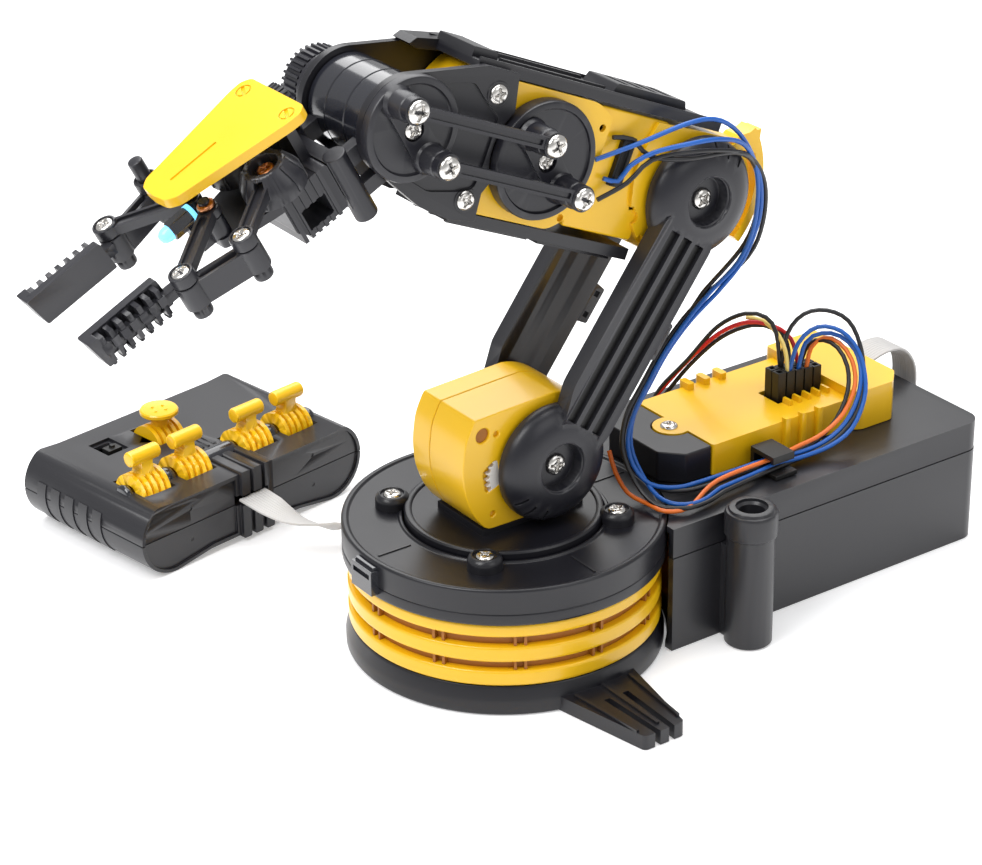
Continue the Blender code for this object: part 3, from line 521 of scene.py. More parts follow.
def make_ribbon():
    """The flat cable from the control cover to the hand controller, ridged over each wire."""
    points = [Vector(p) for p, _ in RIBBON_ROUTE]
    dirs = [Vector(d).normalized() for _, d in RIBBON_ROUTE]
    sides = []
    for k, (a, b) in enumerate(zip(points, points[1:])):
        n = max(2, round((b - a).length / ROUTE_STEP))
        sides += [dirs[k].lerp(dirs[k + 1], i / n) for i in range(n)]
    route = smooth_route(points, ROUTE_STEP)
    pitch = RIBBON_W / RIBBON_WIRES
    upper, lower = [], []
    for k in range(RIBBON_WIRES):
        mid = -RIBBON_W / 2 + pitch * (k + 0.5)
        for dx, dz in ((-0.5, 0.3), (-0.25, 0.5), (0.25, 0.5), (0.5, 0.3)):
            if k < RIBBON_WIRES - 1 and dx == 0.5:
                continue
            upper.append((mid + dx * pitch, dz * RIBBON_T))
            lower.append((mid + dx * pitch, -dz * RIBBON_T))
    cable = piece("ribbon_cable_sheath", swept(route, upper + lower[::-1], sides + [dirs[-1]]),
                  "root", RIBBON, replaces=["ribbon_cable"])


# Where the leads run, in millimetres: each stretch has its colours and its own points.
ELBOW_LEADS = (
    ("blue", ((-24.6, 14.6, 162.8), (-39.3, 17.6, 165.7), (-54.7, 20.5, 169.2), (-65.7, 20.5, 168.4),
              (-74.7, 19.5, 163.1), (-81.4, 18.5, 155.3), (-85.8, 17.5, 146.7), (-88.3, 16.0, 136.5),
              (-87.9, 14.5, 124.1), (-83.4, 13.0, 113.7), (-73.7, 12.0, 106.1))),
    ("blue", ((-28.0, 14.2, 155.8), (-32.6, 15.6, 154.3), (-36.0, 17.0, 158.8), (-42.5, 20.0, 162.5),
              (-53.2, 23.8, 164.1), (-65.4, 23.9, 162.9), (-76.4, 21.5, 158.4), (-84.5, 18.0, 149.8),
              (-89.0, 16.5, 139.9), (-90.2, 15.0, 128.9), (-87.3, 14.0, 118.9), (-83.4, 13.0, 111.8),
              (-75.4, 12.0, 104.4))),
    ("black", ((-25.0, 15.2, 149.9), (-35.0, 17.0, 153.6), (-42.5, 19.6, 160.1), (-55.0, 23.9, 161.2),
               (-70.7, 22.8, 157.5), (-83.1, 18.6, 151.0), (-90.7, 16.4, 139.8), (-92.1, 14.4, 125.8),
               (-87.8, 12.6, 114.4), (-72.9, 10.6, 104.8))),
    ("black", ((-31.7, 14.0, 168.2), (-37.8, 15.6, 166.7), (-42.6, 18.4, 161.0), (-51.9, 23.6, 159.4),
               (-74.0, 22.0, 155.9), (-85.7, 17.2, 146.9), (-89.8, 14.4, 133.2), (-86.7, 12.2, 119.2),
               (-71.7, 10.0, 105.2))))
DROP_LEADS = (
    ("blue", ((-73.7, 12.0, 106.1), (-65.3, 11.2, 98.6), (-56.9, 9.8, 88.4), (-50.2, 8.6, 77.2))),
    ("blue", ((-75.4, 12.0, 104.4), (-66.4, 10.2, 96.6), (-58.4, 8.6, 87.0), (-52.2, 7.2, 76.2))),
    ("black", ((-72.9, 10.6, 104.8), (-64.0, 9.6, 97.8), (-55.6, 8.2, 87.6), (-48.8, 7.6, 77.6))),
    ("black", ((-71.7, 10.0, 105.2), (-65.0, 8.6, 96.2), (-57.6, 7.2, 86.2), (-50.6, 6.4, 76.4))))
FOOT_LEADS = (
    ("blue", ((-50.2, 8.6, 77.2), (-44.8, 9.6, 70.2), (-40.2, 12.0, 63.0), (-39.4, 16.0, 55.5),
              (-43.0, 20.4, 49.4), (-51.0, 24.4, 47.4), (-61.5, 25.8, 47.4))),
    ("blue", ((-52.2, 7.2, 76.2), (-45.8, 8.0, 68.3), (-42.8, 10.4, 59.3), (-42.9, 16.0, 51.4),
              (-42.6, 24.8, 47.0), (-44.7, 32.4, 46.6), (-52.0, 35.2, 46.6), (-62.0, 32.4, 47.0))),
    ("black", ((-48.8, 7.6, 77.6), (-41.4, 9.4, 69.8), (-37.4, 13.0, 60.4), (-37.8, 20.0, 50.8),
               (-39.0, 28.6, 46.6), (-44.6, 35.4, 46.4), (-53.0, 36.6, 46.4), (-62.0, 34.6, 46.8))),
    ("black", ((-50.6, 6.4, 76.4), (-44.0, 7.0, 66.6), (-41.4, 9.4, 57.2), (-43.0, 14.8, 50.0),
               (-46.6, 21.6, 46.8), (-53.4, 26.6, 46.5), (-62.0, 28.4, 46.8))))
LOOP_LEADS = (
    ("blue", ((-61.5, 25.8, 47.4), (-74.0, 26.4, 47.6), (-87.9, 27.2, 48.0), (-98.3, 28.7, 47.4),
              (-108.6, 29.4, 48.6), (-117.9, 29.0, 52.5), (-124.6, 27.4, 59.4), (-128.2, 24.5, 66.6),
              (-129.7, 19.5, 72.4), (-127.7, 14.0, 76.0), (-123.7, 9.5, 76.5), (-119.4, 6.4, 73.0),
              (-116.8, 5.8, 62.5))),
    ("blue", ((-62.0, 32.4, 47.0), (-76.0, 31.2, 47.0), (-88.0, 30.6, 47.4), (-97.0, 31.0, 46.9),
              (-109.6, 31.5, 47.6), (-119.4, 31.0, 51.1), (-126.0, 29.0, 58.7), (-128.7, 26.0, 65.9),
              (-129.6, 21.0, 72.9), (-127.4, 15.0, 78.2), (-122.2, 9.0, 79.0), (-116.2, 6.4, 73.8),
              (-112.9, 5.8, 63.0))),
    ("black", ((-62.0, 34.6, 46.8), (-76.0, 32.6, 46.6), (-88.0, 31.4, 46.6), (-97.9, 30.0, 46.0),
               (-112.5, 30.4, 48.7), (-123.1, 29.0, 55.3), (-128.7, 25.4, 65.0), (-131.4, 20.0, 74.0),
               (-130.7, 14.5, 81.0), (-126.0, 9.0, 84.0), (-119.4, 5.0, 83.0), (-114.4, 2.6, 76.0),
               (-112.6, 2.1, 63.0))),
    ("black", ((-62.0, 28.4, 46.8), (-76.0, 28.0, 46.6), (-88.0, 28.4, 46.6), (-98.0, 27.4, 46.8),
               (-107.6, 27.4, 48.8), (-116.4, 26.6, 53.8), (-122.6, 24.6, 61.2), (-125.6, 20.6, 68.0),
               (-126.0, 15.0, 72.6), (-124.4, 9.6, 73.8), (-122.0, 5.0, 71.2), (-120.6, 2.1, 62.0))),
    ("orange", ((-37.4, 6.0, 57.3), (-36.9, 10.0, 51.4), (-36.6, 17.0, 46.8), (-38.0, 25.6, 46.0),
                (-39.4, 33.0, 46.0), (-47.3, 35.2, 46.0), (-62.6, 30.2, 48.6), (-87.0, 29.2, 49.0),
                (-98.4, 27.8, 49.2), (-109.0, 28.0, 50.8), (-118.6, 27.4, 55.4), (-125.2, 25.2, 63.0),
                (-127.6, 20.4, 69.8), (-127.0, 14.6, 74.0), (-124.8, 9.6, 74.6), (-122.0, 6.4, 70.6),
                (-120.5, 5.8, 62.0))))
BATTERY_LEADS = (
    ("black", ((-83.0, -31.0, 45.0), (-86.5, -29.0, 52.5), (-93.1, -23.5, 62.7), (-99.6, -16.0, 76.0),
               (-104.9, -8.0, 82.4), (-109.8, -3.0, 81.5), (-111.6, 0.4, 76.4), (-112.5, 2.1, 63.2))),
    ("red", ((-82.0, -31.0, 44.8), (-86.0, -29.4, 50.6), (-93.9, -23.0, 63.3), (-100.1, -15.0, 74.1),
             (-106.3, -8.0, 78.9), (-113.0, -3.0, 77.5), (-118.0, 0.6, 72.7), (-120.6, 2.1, 62.4))),
    ("black", ((-84.0, -31.0, 44.8), (-87.4, -29.0, 48.6), (-94.0, -23.4, 60.5), (-101.1, -15.6, 71.9),
               (-108.1, -8.0, 77.3), (-113.4, -3.0, 76.4), (-116.2, 0.4, 72.2), (-116.8, 2.1, 62.6))),
    ("yellow", ((-106.5, -9.4, 80.2), (-110.6, -5.0, 79.2), (-112.4, 0.6, 75.6), (-112.8, 4.0, 70.7),
                (-112.6, 5.8, 63.4))))


def run_leads(tag, leads, node, bodies):
    """Lays a stretch of leads, which run from one body to the next where it crosses a joint; such a stretch
    is put on no body.
    """
    for k, (colour, route) in enumerate(leads):
        crosses = len(bodies) == 2
        obj = piece(f"lead_{tag}_{k + 1}", lead(route), None if crosses else bodies[0],
                    LEADS[colour])
        if crosses:
            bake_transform(obj)
        if k == 0:
            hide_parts(node)


def make_leads():
    run_leads("elbow", ELBOW_LEADS, "wire_elbow", ("forearm", "upper_arm"))
    run_leads("drop", DROP_LEADS, "wire_drop_upper", ("upper_arm", "turntable"))
    run_leads("foot", FOOT_LEADS, "wire_drop_lower", ("turntable", "root"))
    run_leads("loop", LOOP_LEADS, "wire_loop", ("root",))
    run_leads("battery", BATTERY_LEADS, "wire_battery", ("root",))


# ---------------------------------------------------------------- screws

screws = {}


def screw(body, at, p, direction, r=3.3, kind="steel", rise=1.2):
    """Notes a cross-head screw: p is the face that its head rests on, in the local frame."""
    screws.setdefault((body, kind), []).append((at, Vector(p), Vector(direction), r, rise))


def screw_head(r, rise):
    """A domed head with a cross recess."""
    head = lathe([(0, -0.6), (r * 0.96, -0.6), (r, 0), (r * 0.97, rise * 0.45), (r * 0.8, rise * 0.85),
                  (r * 0.5, rise), (0, rise)], n=36)
    a, w, depth = r * 0.62, r * 0.14, rise * 0.1
    cross = [box(-a, a, -w, w, depth, rise + 1), box(-w, w, -a, a, depth, rise + 1)]
    return solid(head, cut=cross, bevel=0)


def make_screws():
    """One piece for each body and metal, with all of its screws."""
    looks = {"steel": STEEL, "copper": COPPER}
    for (body, kind), group in sorted(screws.items()):
        bm = bmesh.new()
        for k, (at, p, direction, r, rise) in enumerate(group):
            mesh = screw_head(r, rise)
            turn = direction.normalized().to_track_quat("Z", "Y").to_matrix().to_4x4()
            spin = Matrix.Rotation(0.5 + 0.9 * k, 4, "Z")
            mesh.transform(at @ Matrix.Translation(p) @ turn @ spin)
            bm.from_mesh(mesh)
            bpy.data.meshes.remove(mesh)
        piece(f"screws_{body}_{kind}", bm, body, looks[kind])


# ---------------------------------------------------------------- base

TOP_R, DISC_R = 52.0, 31.9
RINGS = ((10.0, 15.3), (18.4, 23.8), (27.2, 31.7))
BOX_X0, BOX_X1, BOX_Y, SEAM, LID_Z = -169.3, -36.0, 41.6, 33.4, 44.0
POST = (-60.5, 50.2)


def make_base_plate():
    rim = [(0, 0), (50.6, 0), (51.3, 0.3), (51.6, 1.0), (51.6, 4.0), (51.2, 5.4), (50.3, 8.8),
           (49.8, 9.5), (49.0, 9.7), (46.2, 9.7), (46, 9.5), (46, 4.0), (0, 4.0)]
    feet, slots = [], []
    for side in (1, -1):
        tip = 83.4 * side
        outline = [(-15, 46 * side), (15, 46 * side), (7.6, tip), (-7.6, tip)]
        feet.append(soft_prism(outline, 1.6, 0.0, 5.0))
        for x in (-1, 1):
            y0, y1 = 59 * side, tip + 2 * side
            slots.append(prism([(x * 3.6 - 1.1, y0), (x * 3.6 + 1.1, y0), (x * 2.6 + 1.0, y1),
                                (x * 2.6 - 1.0, y1)], -1, 6))
    ridges = [prism([(x * 6.6 - 0.5, 52 * s), (x * 6.6 + 0.5, 52 * s), (x * 4.9 + 0.5, 80 * s),
                     (x * 4.9 - 0.5, 80 * s)], 4, 5.9) for x in (-1.6, 0, 1.6) for s in (1, -1)]
    skin("base_plate", solid(lathe(rim), feet + ridges, slots, bevel=0.4), "root", BLACK)


def make_ring_housing():
    outer = []
    for lo, hi in RINGS:
        outer += [(47.6, lo), (50.0, lo), (50.5, lo + 0.5), (50.6, lo + 1.2), (50.6, hi - 1.2),
                  (50.5, hi - 0.5), (50.0, hi), (47.6, hi)]
    profile = [(r, z) for r, z in outer[1:-1]] + [(44.5, RINGS[2][1]), (44.5, RINGS[0][0])]
    skin("ring_housing", lathe(profile, n=128), "root", YELLOW)
    # The recess between the rings is lined with a thin sheet and struts of the shaded yellow: painted shade
    # in the gaps.
    struts = []
    for lo, hi in ((RINGS[0][1], RINGS[1][0]), (RINGS[1][1], RINGS[2][0])):
        band = [(47.58, lo + 0.02), (47.9, lo + 0.02), (47.9, hi - 0.02), (47.58, hi - 0.02)]
        struts.append(lathe(band, n=96))
        for a in range(-150, 150, 30):
            p = frame_at((0, 0, 0), a, "Z")
            for dy in (-1.6, 1.6):
                struts.append(moved(box(47.7, 49.6, dy - 0.45, dy + 0.45, lo, hi), p))
    piece("ring_recess_painted_shade", merged(struts), "root", YELLOW_PAINTED_SHADE)


def make_top_plate():
    profile = [(DISC_R + 0.5, 41.6), (49.6, 41.6), (49.6, 32.2), (49.8, 32), (51.4, 32), (51.9, 32.4),
               (52.0, 33.0), (52.0, 35.6), (51.7, 36.0), (52.0, 36.4), (52.0, 43.6), (51.8, 44.2),
               (51.3, 44.6), (50.4, 44.6), (50.0, 44.4), (49.7, 43.9), (49.2, 43.8),
               (DISC_R + 2.2, 43.8), (DISC_R + 1.8, 44.0), (DISC_R + 1.5, 44.5), (DISC_R + 0.8, 44.5),
               (DISC_R + 0.5, 44.2)]
    skin("top_plate", lathe(profile, n=128), "root", BLACK)
    fittings = []
    for sx in (-1, 1):
        for sy in (-1, 1):
            x, y = 25.6 * sx, 25.6 * sy
            fittings.append(lathe([(0, 43.6), (5.6, 43.6), (5.6, 46.4), (5.3, 47.4), (4.4, 48.2),
                                   (3.9, 48.3), (3.7, 47.6), (0, 47.6)], x, y, n=40))
            p = frame_at((0, 0, 0), degrees(atan2(sy, sx)), "Z")
            fittings.append(moved(box(DISC_R + 0.8, 35.5, -1.5, 1.5, 43.2, 45.6), p))
            screw("root", WORLD, (x, y, 47.4), (0, 0, 1), 3.0)
    for a in range(0, 360, 90):
        p = frame_at((0, 0, 0), a, "Z")
        fittings.append(moved(box(36, 48, -0.35, 0.35, 43.4, 44.15), p))
    clip = solid(box(51.0, 54.6, -5.6, 5.6, 34.0, 42.4),
                 [box(50.8, 53.4, -5.0, 5.0, 41.8, 43.4)],
                 [box(53.6, 56, -4.4, 4.4, 39.4, 41.0)], bevel=0.4)
    piece("top_plate_fittings", merged(fittings), "root", BLACK)
    piece("rim_clip", clip, "root", GLOSSY)


def round_box(x0, x1, y, r, z0, z1):
    """A box with its two corners at x0 rounded."""
    pts = [(x1, -y), (x1, y)] + arc(x0 + r, y - r, r, 90, 180, 8) + arc(x0 + r, -y + r, r, 180, 270, 8)
    return prism(pts, z0, z1)


def make_battery_box():
    def bay():
        return rod(0, 0, TOP_R + 0.4, -1, 70, n=128)
    post = lathe([(0, 0), (7.3, 0), (7.8, 0.5), (7.8, 38.6), (8.6, 39.4), (8.7, 40.2), (8.7, 46.4),
                  (8.2, 47.4), (7.6, 47.6), (7.2, 48.4), (6.6, 48.6), (0, 48.6)], *POST, n=64)
    web = box(POST[0] - 5, POST[0] + 5, BOX_Y - 0.6, POST[1], 0.3, SEAM)
    bore = lathe([(0, 24), (4.4, 24), (4.4, 46.8), (5.2, 47.6), (5.4, 50), (0, 50)], *POST, n=48)
    tray = solid(round_box(BOX_X0, BOX_X1, BOX_Y, 6, 0, SEAM), [post, web],
                 [bay(), bore, round_box(BOX_X0 + 2.5, BOX_X1 + 9, BOX_Y - 2.5, 3.5, 2.2, 60)], bevel=0.5)
    skin("battery_tray", tray, "root", BLACK)
    lip = box(-63.5, -40, 27, BOX_Y - 0.2, 43.5, 44.0)
    lid = solid(round_box(BOX_X0, BOX_X1, BOX_Y - 0.2, 6, SEAM + GAP, LID_Z), [lip],
                [bay(), round_box(BOX_X0 + 2.3, BOX_X1 + 9, BOX_Y - 2.5, 4, SEAM - 1, LID_Z - 2.2)],
                bevel=0.7, steps=3)
    skin("battery_lid", lid, "root", BLACK)


def make_control_cover():
    top, bottom = 55.3, LID_Z + GAP
    front = [(-130, -20), (-69.3, -20), (-69.3, 20), (-130, 20)]
    block = soft_prism([(-150, -23.5), (-128, -23.5), (-128, 22), (-131, 23.5), (-144, 23.5),
                           (-150, 17.5)], 1.2, bottom, 58.5)
    tab = rod(-67.5, 0.5, 6.4, 50.0, top, n=48)
    near = [soft_prism([(x, 19.0), (x + 2.4, 19.0), (x + 2.4, 21.8), (x, 21.8)], 0.8, bottom, 56.7)
            for x in (-101, -108, -115)]
    far = [soft_prism([(x, -16.5), (x + 2.6, -16.5), (x + 2.6, -21.8), (x, -21.8)], 0.8, bottom, 57.6)
           for x in (-91, -98, -105)]
    teeth = [prism([(-126.4 + 4.1 * k, 50), (-123.4 + 4.1 * k, 50), (-124.4 + 4.1 * k, 57.2),
                    (-125.4 + 4.1 * k, 57.2)], 9.0, 12.6, "y") for k in range(5)]
    slot = box(-127.5, -106, -1.5, 9.0, 40, 70)
    inside = box(-146, -71.5, -17.8, 17.8, 40, 53.1)
    body = solid(soft_prism(front, 1.2, bottom, top), [block, tab] + near + far + teeth,
                 [slot, inside, rod(-66, 0.5, 1.6, 48, 60, n=20)], bevel=0.6, steps=3)
    skin("control_cover", body, "root", YELLOW)
    screw("root", WORLD, (-66.4, 0.5, top - 0.1), (0, 0, 1), 3.0)
    outline = [(-69.0, -19.5), (-59, -19.5), (-52, -13), (-52, 12.5), (-58.5, 19.5), (-69.0, 19.5)]
    cap = solid(soft_prism(outline, 0.8, bottom, 55.0), (), [rod(-67.5, 0.5, 6.7, 40, 70, n=48)],
                bevel=1.1, steps=3)
    skin("end_cap", cap, "root", BLACK)


def make_plugs_and_clip():
    plugs = []
    for k, x in enumerate((-110.4, -114.3, -118.2, -122.1, -126.0)):
        top = 65.2 - 0.4 * k
        for dy in (0.5, 4.2):
            plugs.append(solid(box(x, x + 3.3, dy, dy + 3.3, 47.1, top), (),
                               [box(x + 0.8, x + 2.5, dy + 0.8, dy + 2.5, top - 1.2, top + 1),
                                box(x - 1, x + 0.4, dy + 0.9, dy + 2.4, top - 8, top - 3.5)], bevel=0.2))
    bm = bmesh.new()
    for mesh in plugs:
        bm.from_mesh(mesh)
        bpy.data.meshes.remove(mesh)
    piece("header_plug_shells", bm, "root", DARK, replaces=["header_plugs"])
    foot, web = box(-92, -83, 22.4, 35.5, 44.3, 45.9), box(-92, -83, 22.4, 24.2, 45, 52)
    clip = solid(foot, [web, box(-92, -83, 22.4, 34.0, 50.3, 52.0), box(-92, -83, 32.6, 34.0, 49.3, 51)],
                 (), bevel=0.3)
    skin("wire_clip", clip, "root", DARK)


# ---------------------------------------------------------------- turntable and shoulder

HALF_W = 13.9


def make_turntable():
    profile = [(0, 41.7), (31.4, 41.7), (31.9, 42.2), (31.9, 46.2), (31.5, 46.8), (30.9, 47.0), (30.2, 47.0),
               (29.7, 46.7), (29.4, 46.1), (29.0, 46.0), (0, 46.0)]
    disc_mesh = solid(lathe(profile, n=128), [box(-22, 17, -12.5, 12.5, 45, 48.3)], bevel=0.3)
    skin("turntable_disc", disc_mesh, "turntable", BLACK)


def shell(outline, y0, y1, inward, holes=(), add=()):
    """One half of a gearbox: rounded outside, hollow towards the other half."""
    centre = Vector((sum(p[0] for p in outline), sum(p[1] for p in outline))) / len(outline)
    inner = []
    for p in outline:
        d = Vector(p) - centre
        inner.append(tuple(centre + d * (1 - 2.6 / d.length)))
    depth = (y0 - 1, y1 - 2.2) if inward < 0 else (y0 + 2.2, y1 + 1)
    return solid(prism(outline, y0, y1, "y"), add, [prism(inner, *depth, axis="y")] + list(holes),
                 bevel=0.45)


def shoulder_outline():
    corner = rounded([(-8, -18.3), (23.3, -18.3), (28.4, -11), (31.2, -3), (31.8, 5), (30.6, 14),
                      (26.5, 22.2)], 3.0, 3)[3:-2]
    return arc(0, 0, 22.4, 97, 234, 28) + corner


def make_shoulder():
    out = shoulder_outline()
    holes = [rod(24.0, 14.8, 2.5, 12.4, 16, "y", 28), rod(18.9, 14.0, 1.0, 12.4, 16, "y", 16),
             rod(20.6, -13.2, 1.0, 12.4, 16, "y", 16), rod(0, 0, 4.4, -30, 30, "y", 24)]
    window = soft_prism([(17.6, -3.5), (23.2, -5.5), (24.2, 2.5), (18.8, 5.5)], 1.6, 12.0, 16, "y")
    piece("shoulder_shell_left", shell(out, -4.45, HALF_W, -1, holes + [window]), "turntable", YELLOW,
          S_FRAME, ["shoulder_housing_left"])
    piece("shoulder_shell_right", shell(out, -HALF_W, -4.65, 1, [rod(0, 0, 4.4, -30, 30, "y", 24)]),
          "turntable", YELLOW, S_FRAME, ["shoulder_housing_right"])
    teeth = [(r * cos(radians(a)), r * sin(radians(a)))
             for k in range(28) for r, a in ((9.2, k * 360 / 28 - 3), (10.6, k * 360 / 28 - 1.2),
                                             (10.6, k * 360 / 28 + 1.2), (9.2, k * 360 / 28 + 3))]
    gear = prism([(p[0] * 0.93 + 13.0, p[1] * 0.93 - 1.0) for p in teeth], 12.3, 13.7, "y")
    piece("shoulder_gear", gear, "turntable", NYLON, S_FRAME)
    # A disc of the shaded yellow at the bottom of the shell's round hole: painted shade in the hole.
    recess = rod(24.0, 14.8, 2.45, 12.2, 12.9, "y", 28)
    piece("shoulder_recess_painted_shade", recess, "turntable", YELLOW_PAINTED_SHADE, S_FRAME)


# ---------------------------------------------------------------- upper arm

DOME_R = 19.5
GROOVES = (-5.7, 0.2, 6.1)


def dome(sign, at):
    """The round end of an arm half, with a well for its screw."""
    prof = [(0, 15.0), (DOME_R - 0.3, 15.0), (DOME_R, 15.4), (DOME_R, 16.4)]
    for k in range(1, 9):
        a = radians(90 * k / 9)
        prof.append((8.8 + (DOME_R - 8.8) * cos(a) ** 0.9, 16.4 + 6.4 * sin(a)))
    prof += [(8.9, 22.9), (8.6, 23.0), (8.3, 22.8), (8.1, 22.3), (7.9, 22.2), (7.6, 21.8), (7.2, 18.6),
             (6.9, 18.4), (0, 18.4)]
    return lathe([(r, sign * h) for r, h in prof], at, 0, "y", 72)


def make_arm(name, sign, node):
    outline = [(9, 9.6), (15, 11.5), (82, 11.5), (86, 8), (86, -10.5), (82, -11.8), (24, -11.8),
               (14, -8.5), (9, -8.5)]
    blade = soft_prism(outline, 1.5, *span(sign, 16.2, 22.0), "y", n=2)
    tab = soft_prism([(42, 9), (43, 15.8), (55.5, 15.8), (56.5, 9)], 0.6, *span(sign, 16.4, 19.0), "y", n=2)
    grooves = [soft_prism([(14, z - 2.0), (81, z - 2.0), (81, z + 2.0), (14, z + 2.0)], 0.5,
                          *span(sign, 20.2, 26), "y", n=2) for z in GROOVES]
    wells = [rod(x, 0, 7.3, *span(sign, 18.4, 26), "y", 48) for x in (0, ARM_LEN)]
    marks = []
    for turn in (-23, -5, 16):
        for at, side in ((ARM_LEN, 1), (0, -1)):
            u = Vector((side * cos(radians(turn)), sin(radians(turn))))
            mid = Vector((at, 0))
            marks.append(bar(tuple(mid + u * 14.8), tuple(mid + u * 18.2), 0.42,
                             *span(sign, 17.4, 26), "y", 4))
    slots = [prism([(x, 12.6), (x + 2.0, 12.6), (x + 2.0, 14.6), (x, 14.6)], *span(sign, 10, 26), "y")
             for x in (44.5, 52)]
    mesh = solid(blade, [dome(sign, 0), dome(sign, ARM_LEN), tab], grooves + wells + marks + slots,
                 bevel=0.3)
    piece(name, mesh, "upper_arm", GREY, A_FRAME, [node])
    # Thin near-black sheets on the groove floors: painted shade in the grooves.
    floors = [box(14.5, 80.5, *span(sign, 20.0, 20.45), z - 1.9, z + 1.9) for z in GROOVES]
    piece(f"{name}_groove_painted_shade", merged(floors), "upper_arm", DARK, A_FRAME)
    for x in (0, ARM_LEN):
        screw("upper_arm", A_FRAME, (x, 18.4 * sign, 0), (0, sign, 0), 3.6, rise=1.6)


# ---------------------------------------------------------------- forearm

def elbow_outline():
    return (arc(0, 0, 22.7, 118, 245, 28)
            + rounded([(-4, -20.9), (11.7, -20.9), (19.5, -14), (22.6, -8), (25.6, 2), (24.6, 11),
                       (22.7, 20)], 2.0, 3)[3:-2])


def wrist_outline():
    s = DRIVE_AT
    return rounded([(s - 17, 20.2), (s - 24.4, 17), (s - 24.4, 0), (s - 20, -16), (s - 13.4, -20.9),
                    (s + 24, -20.9), (s + 29, -14), (s + 31.4, 0), (s + 29, 13), (s + 24, 20.2)], 2.5, 4)


def guard():
    """The curved fin behind the elbow, and its web."""
    band = arc(0, 0, 31.6, 128, 202, 24) + arc(0, 0, 28.6, 202, 128, 24)
    web = [(-12, 17), (-24, 17), (-22, 25), (-14, 21)]
    return [prism(band, 4, 11, "y"), prism(web, 4, 11, "y")]


def make_forearm_shells():
    def shaft(x):
        return rod(x, 0, 4.4, -30, 30, "y", 24)
    pins = [rod(x, z, 1.3, 12.6, 16, "y", 16) for x, z in ((-9, 19.0), (21.5, -9.5), (14.5, -17.5))]
    dents = [rod(20.5, -11.5, 2.2, 12.2, 16, "y", 24)]
    piece("elbow_shell_left", shell(elbow_outline(), -2.05, HALF_W, -1, [shaft(0)] + pins + dents, guard()),
          "forearm", YELLOW, F_FRAME, ["elbow_housing_left"])
    piece("elbow_shell_right", shell(elbow_outline(), -HALF_W, -2.25, 1, [shaft(0)]),
          "forearm", YELLOW, F_FRAME, ["elbow_housing_right"])
    s = DRIVE_AT
    pins = [rod(s + x, z, 1.2, 12.6, 16, "y", 16) for x, z in ((-21.5, 13), (21, 17.2), (-17, -16.5))]
    piece("wrist_shell_left", shell(wrist_outline(), -2.05, HALF_W, -1, [shaft(s)] + pins),
          "forearm", YELLOW, F_FRAME, ["wrist_housing_left"])
    piece("wrist_shell_right", shell(wrist_outline(), -HALF_W, -2.25, 1, [shaft(s)]),
          "forearm", YELLOW, F_FRAME, ["wrist_housing_right"])
    plug = solid(box(29.5, 34.5, 8.0, 14.4, -3.5, 12.5), cut=[box(31, 33.2, 13.6, 16, -1.5, 10.5)], bevel=0.3)
    piece("motor_plug", plug, "forearm", DARK, F_FRAME)
    bridge = soft_prism([(17, -19), (46, -19), (46, 19.6), (17, 19.6)], 1.5, -12.6, 12.6, "y")
    piece("forearm_bridge", solid(bridge, bevel=0.8), "forearm", YELLOW, F_FRAME)


def make_rails():
    slots = [box(x, x + 3.0, -5.2, 5.2, 25.0, 28) for x in (13, 19, 25, 31)]
    plate = soft_prism([(-2.5, 20.7), (97, 20.7), (97, 23.4), (-2.5, 23.4)], 0.3, -13.4, 13.4, "y", n=1)
    lips = [box(-2.5, 97, s * 13.4 - 0.8 * (s > 0), s * 13.4 + 0.8 * (s < 0), 20.7, 24.4) for s in (-1, 1)]
    raised = soft_prism([(7.5, 22), (9.5, 26.6), (38, 26.6), (40, 22)], 0.5, -7.5, 7.5, "y", n=2)
    block = soft_prism([(87, 22), (88, 26.4), (97, 26.4), (97, 22)], 0.5, -9, 9, "y", n=2)
    runner = [box(42, 84, s * 6 - 0.7, s * 6 + 0.7, 23, 24.6) for s in (-1, 1)]
    skin("top_rail", solid(plate, lips + [raised, block] + runner, slots, bevel=0.35), "forearm", BLACK,
        F_FRAME)
    plate = box(17, 90, -13.4, 13.4, -25.0, -21.3)
    ribs = [box(20, 50, -9, 9, -26.6, -24)] + [box(54, 86, y - 0.8, y + 0.8, -26.2, -24) for y in (-8, 0, 8)]
    skin("bottom_rail", solid(plate, ribs, [box(24 + 6 * k, 27 + 6 * k, -6, 6, -28, -25.6)
                                                for k in range(4)], bevel=0.35), "forearm", BLACK, F_FRAME)


PLATE_SCREWS = ((89.7, 15.5), (88.8, -17))


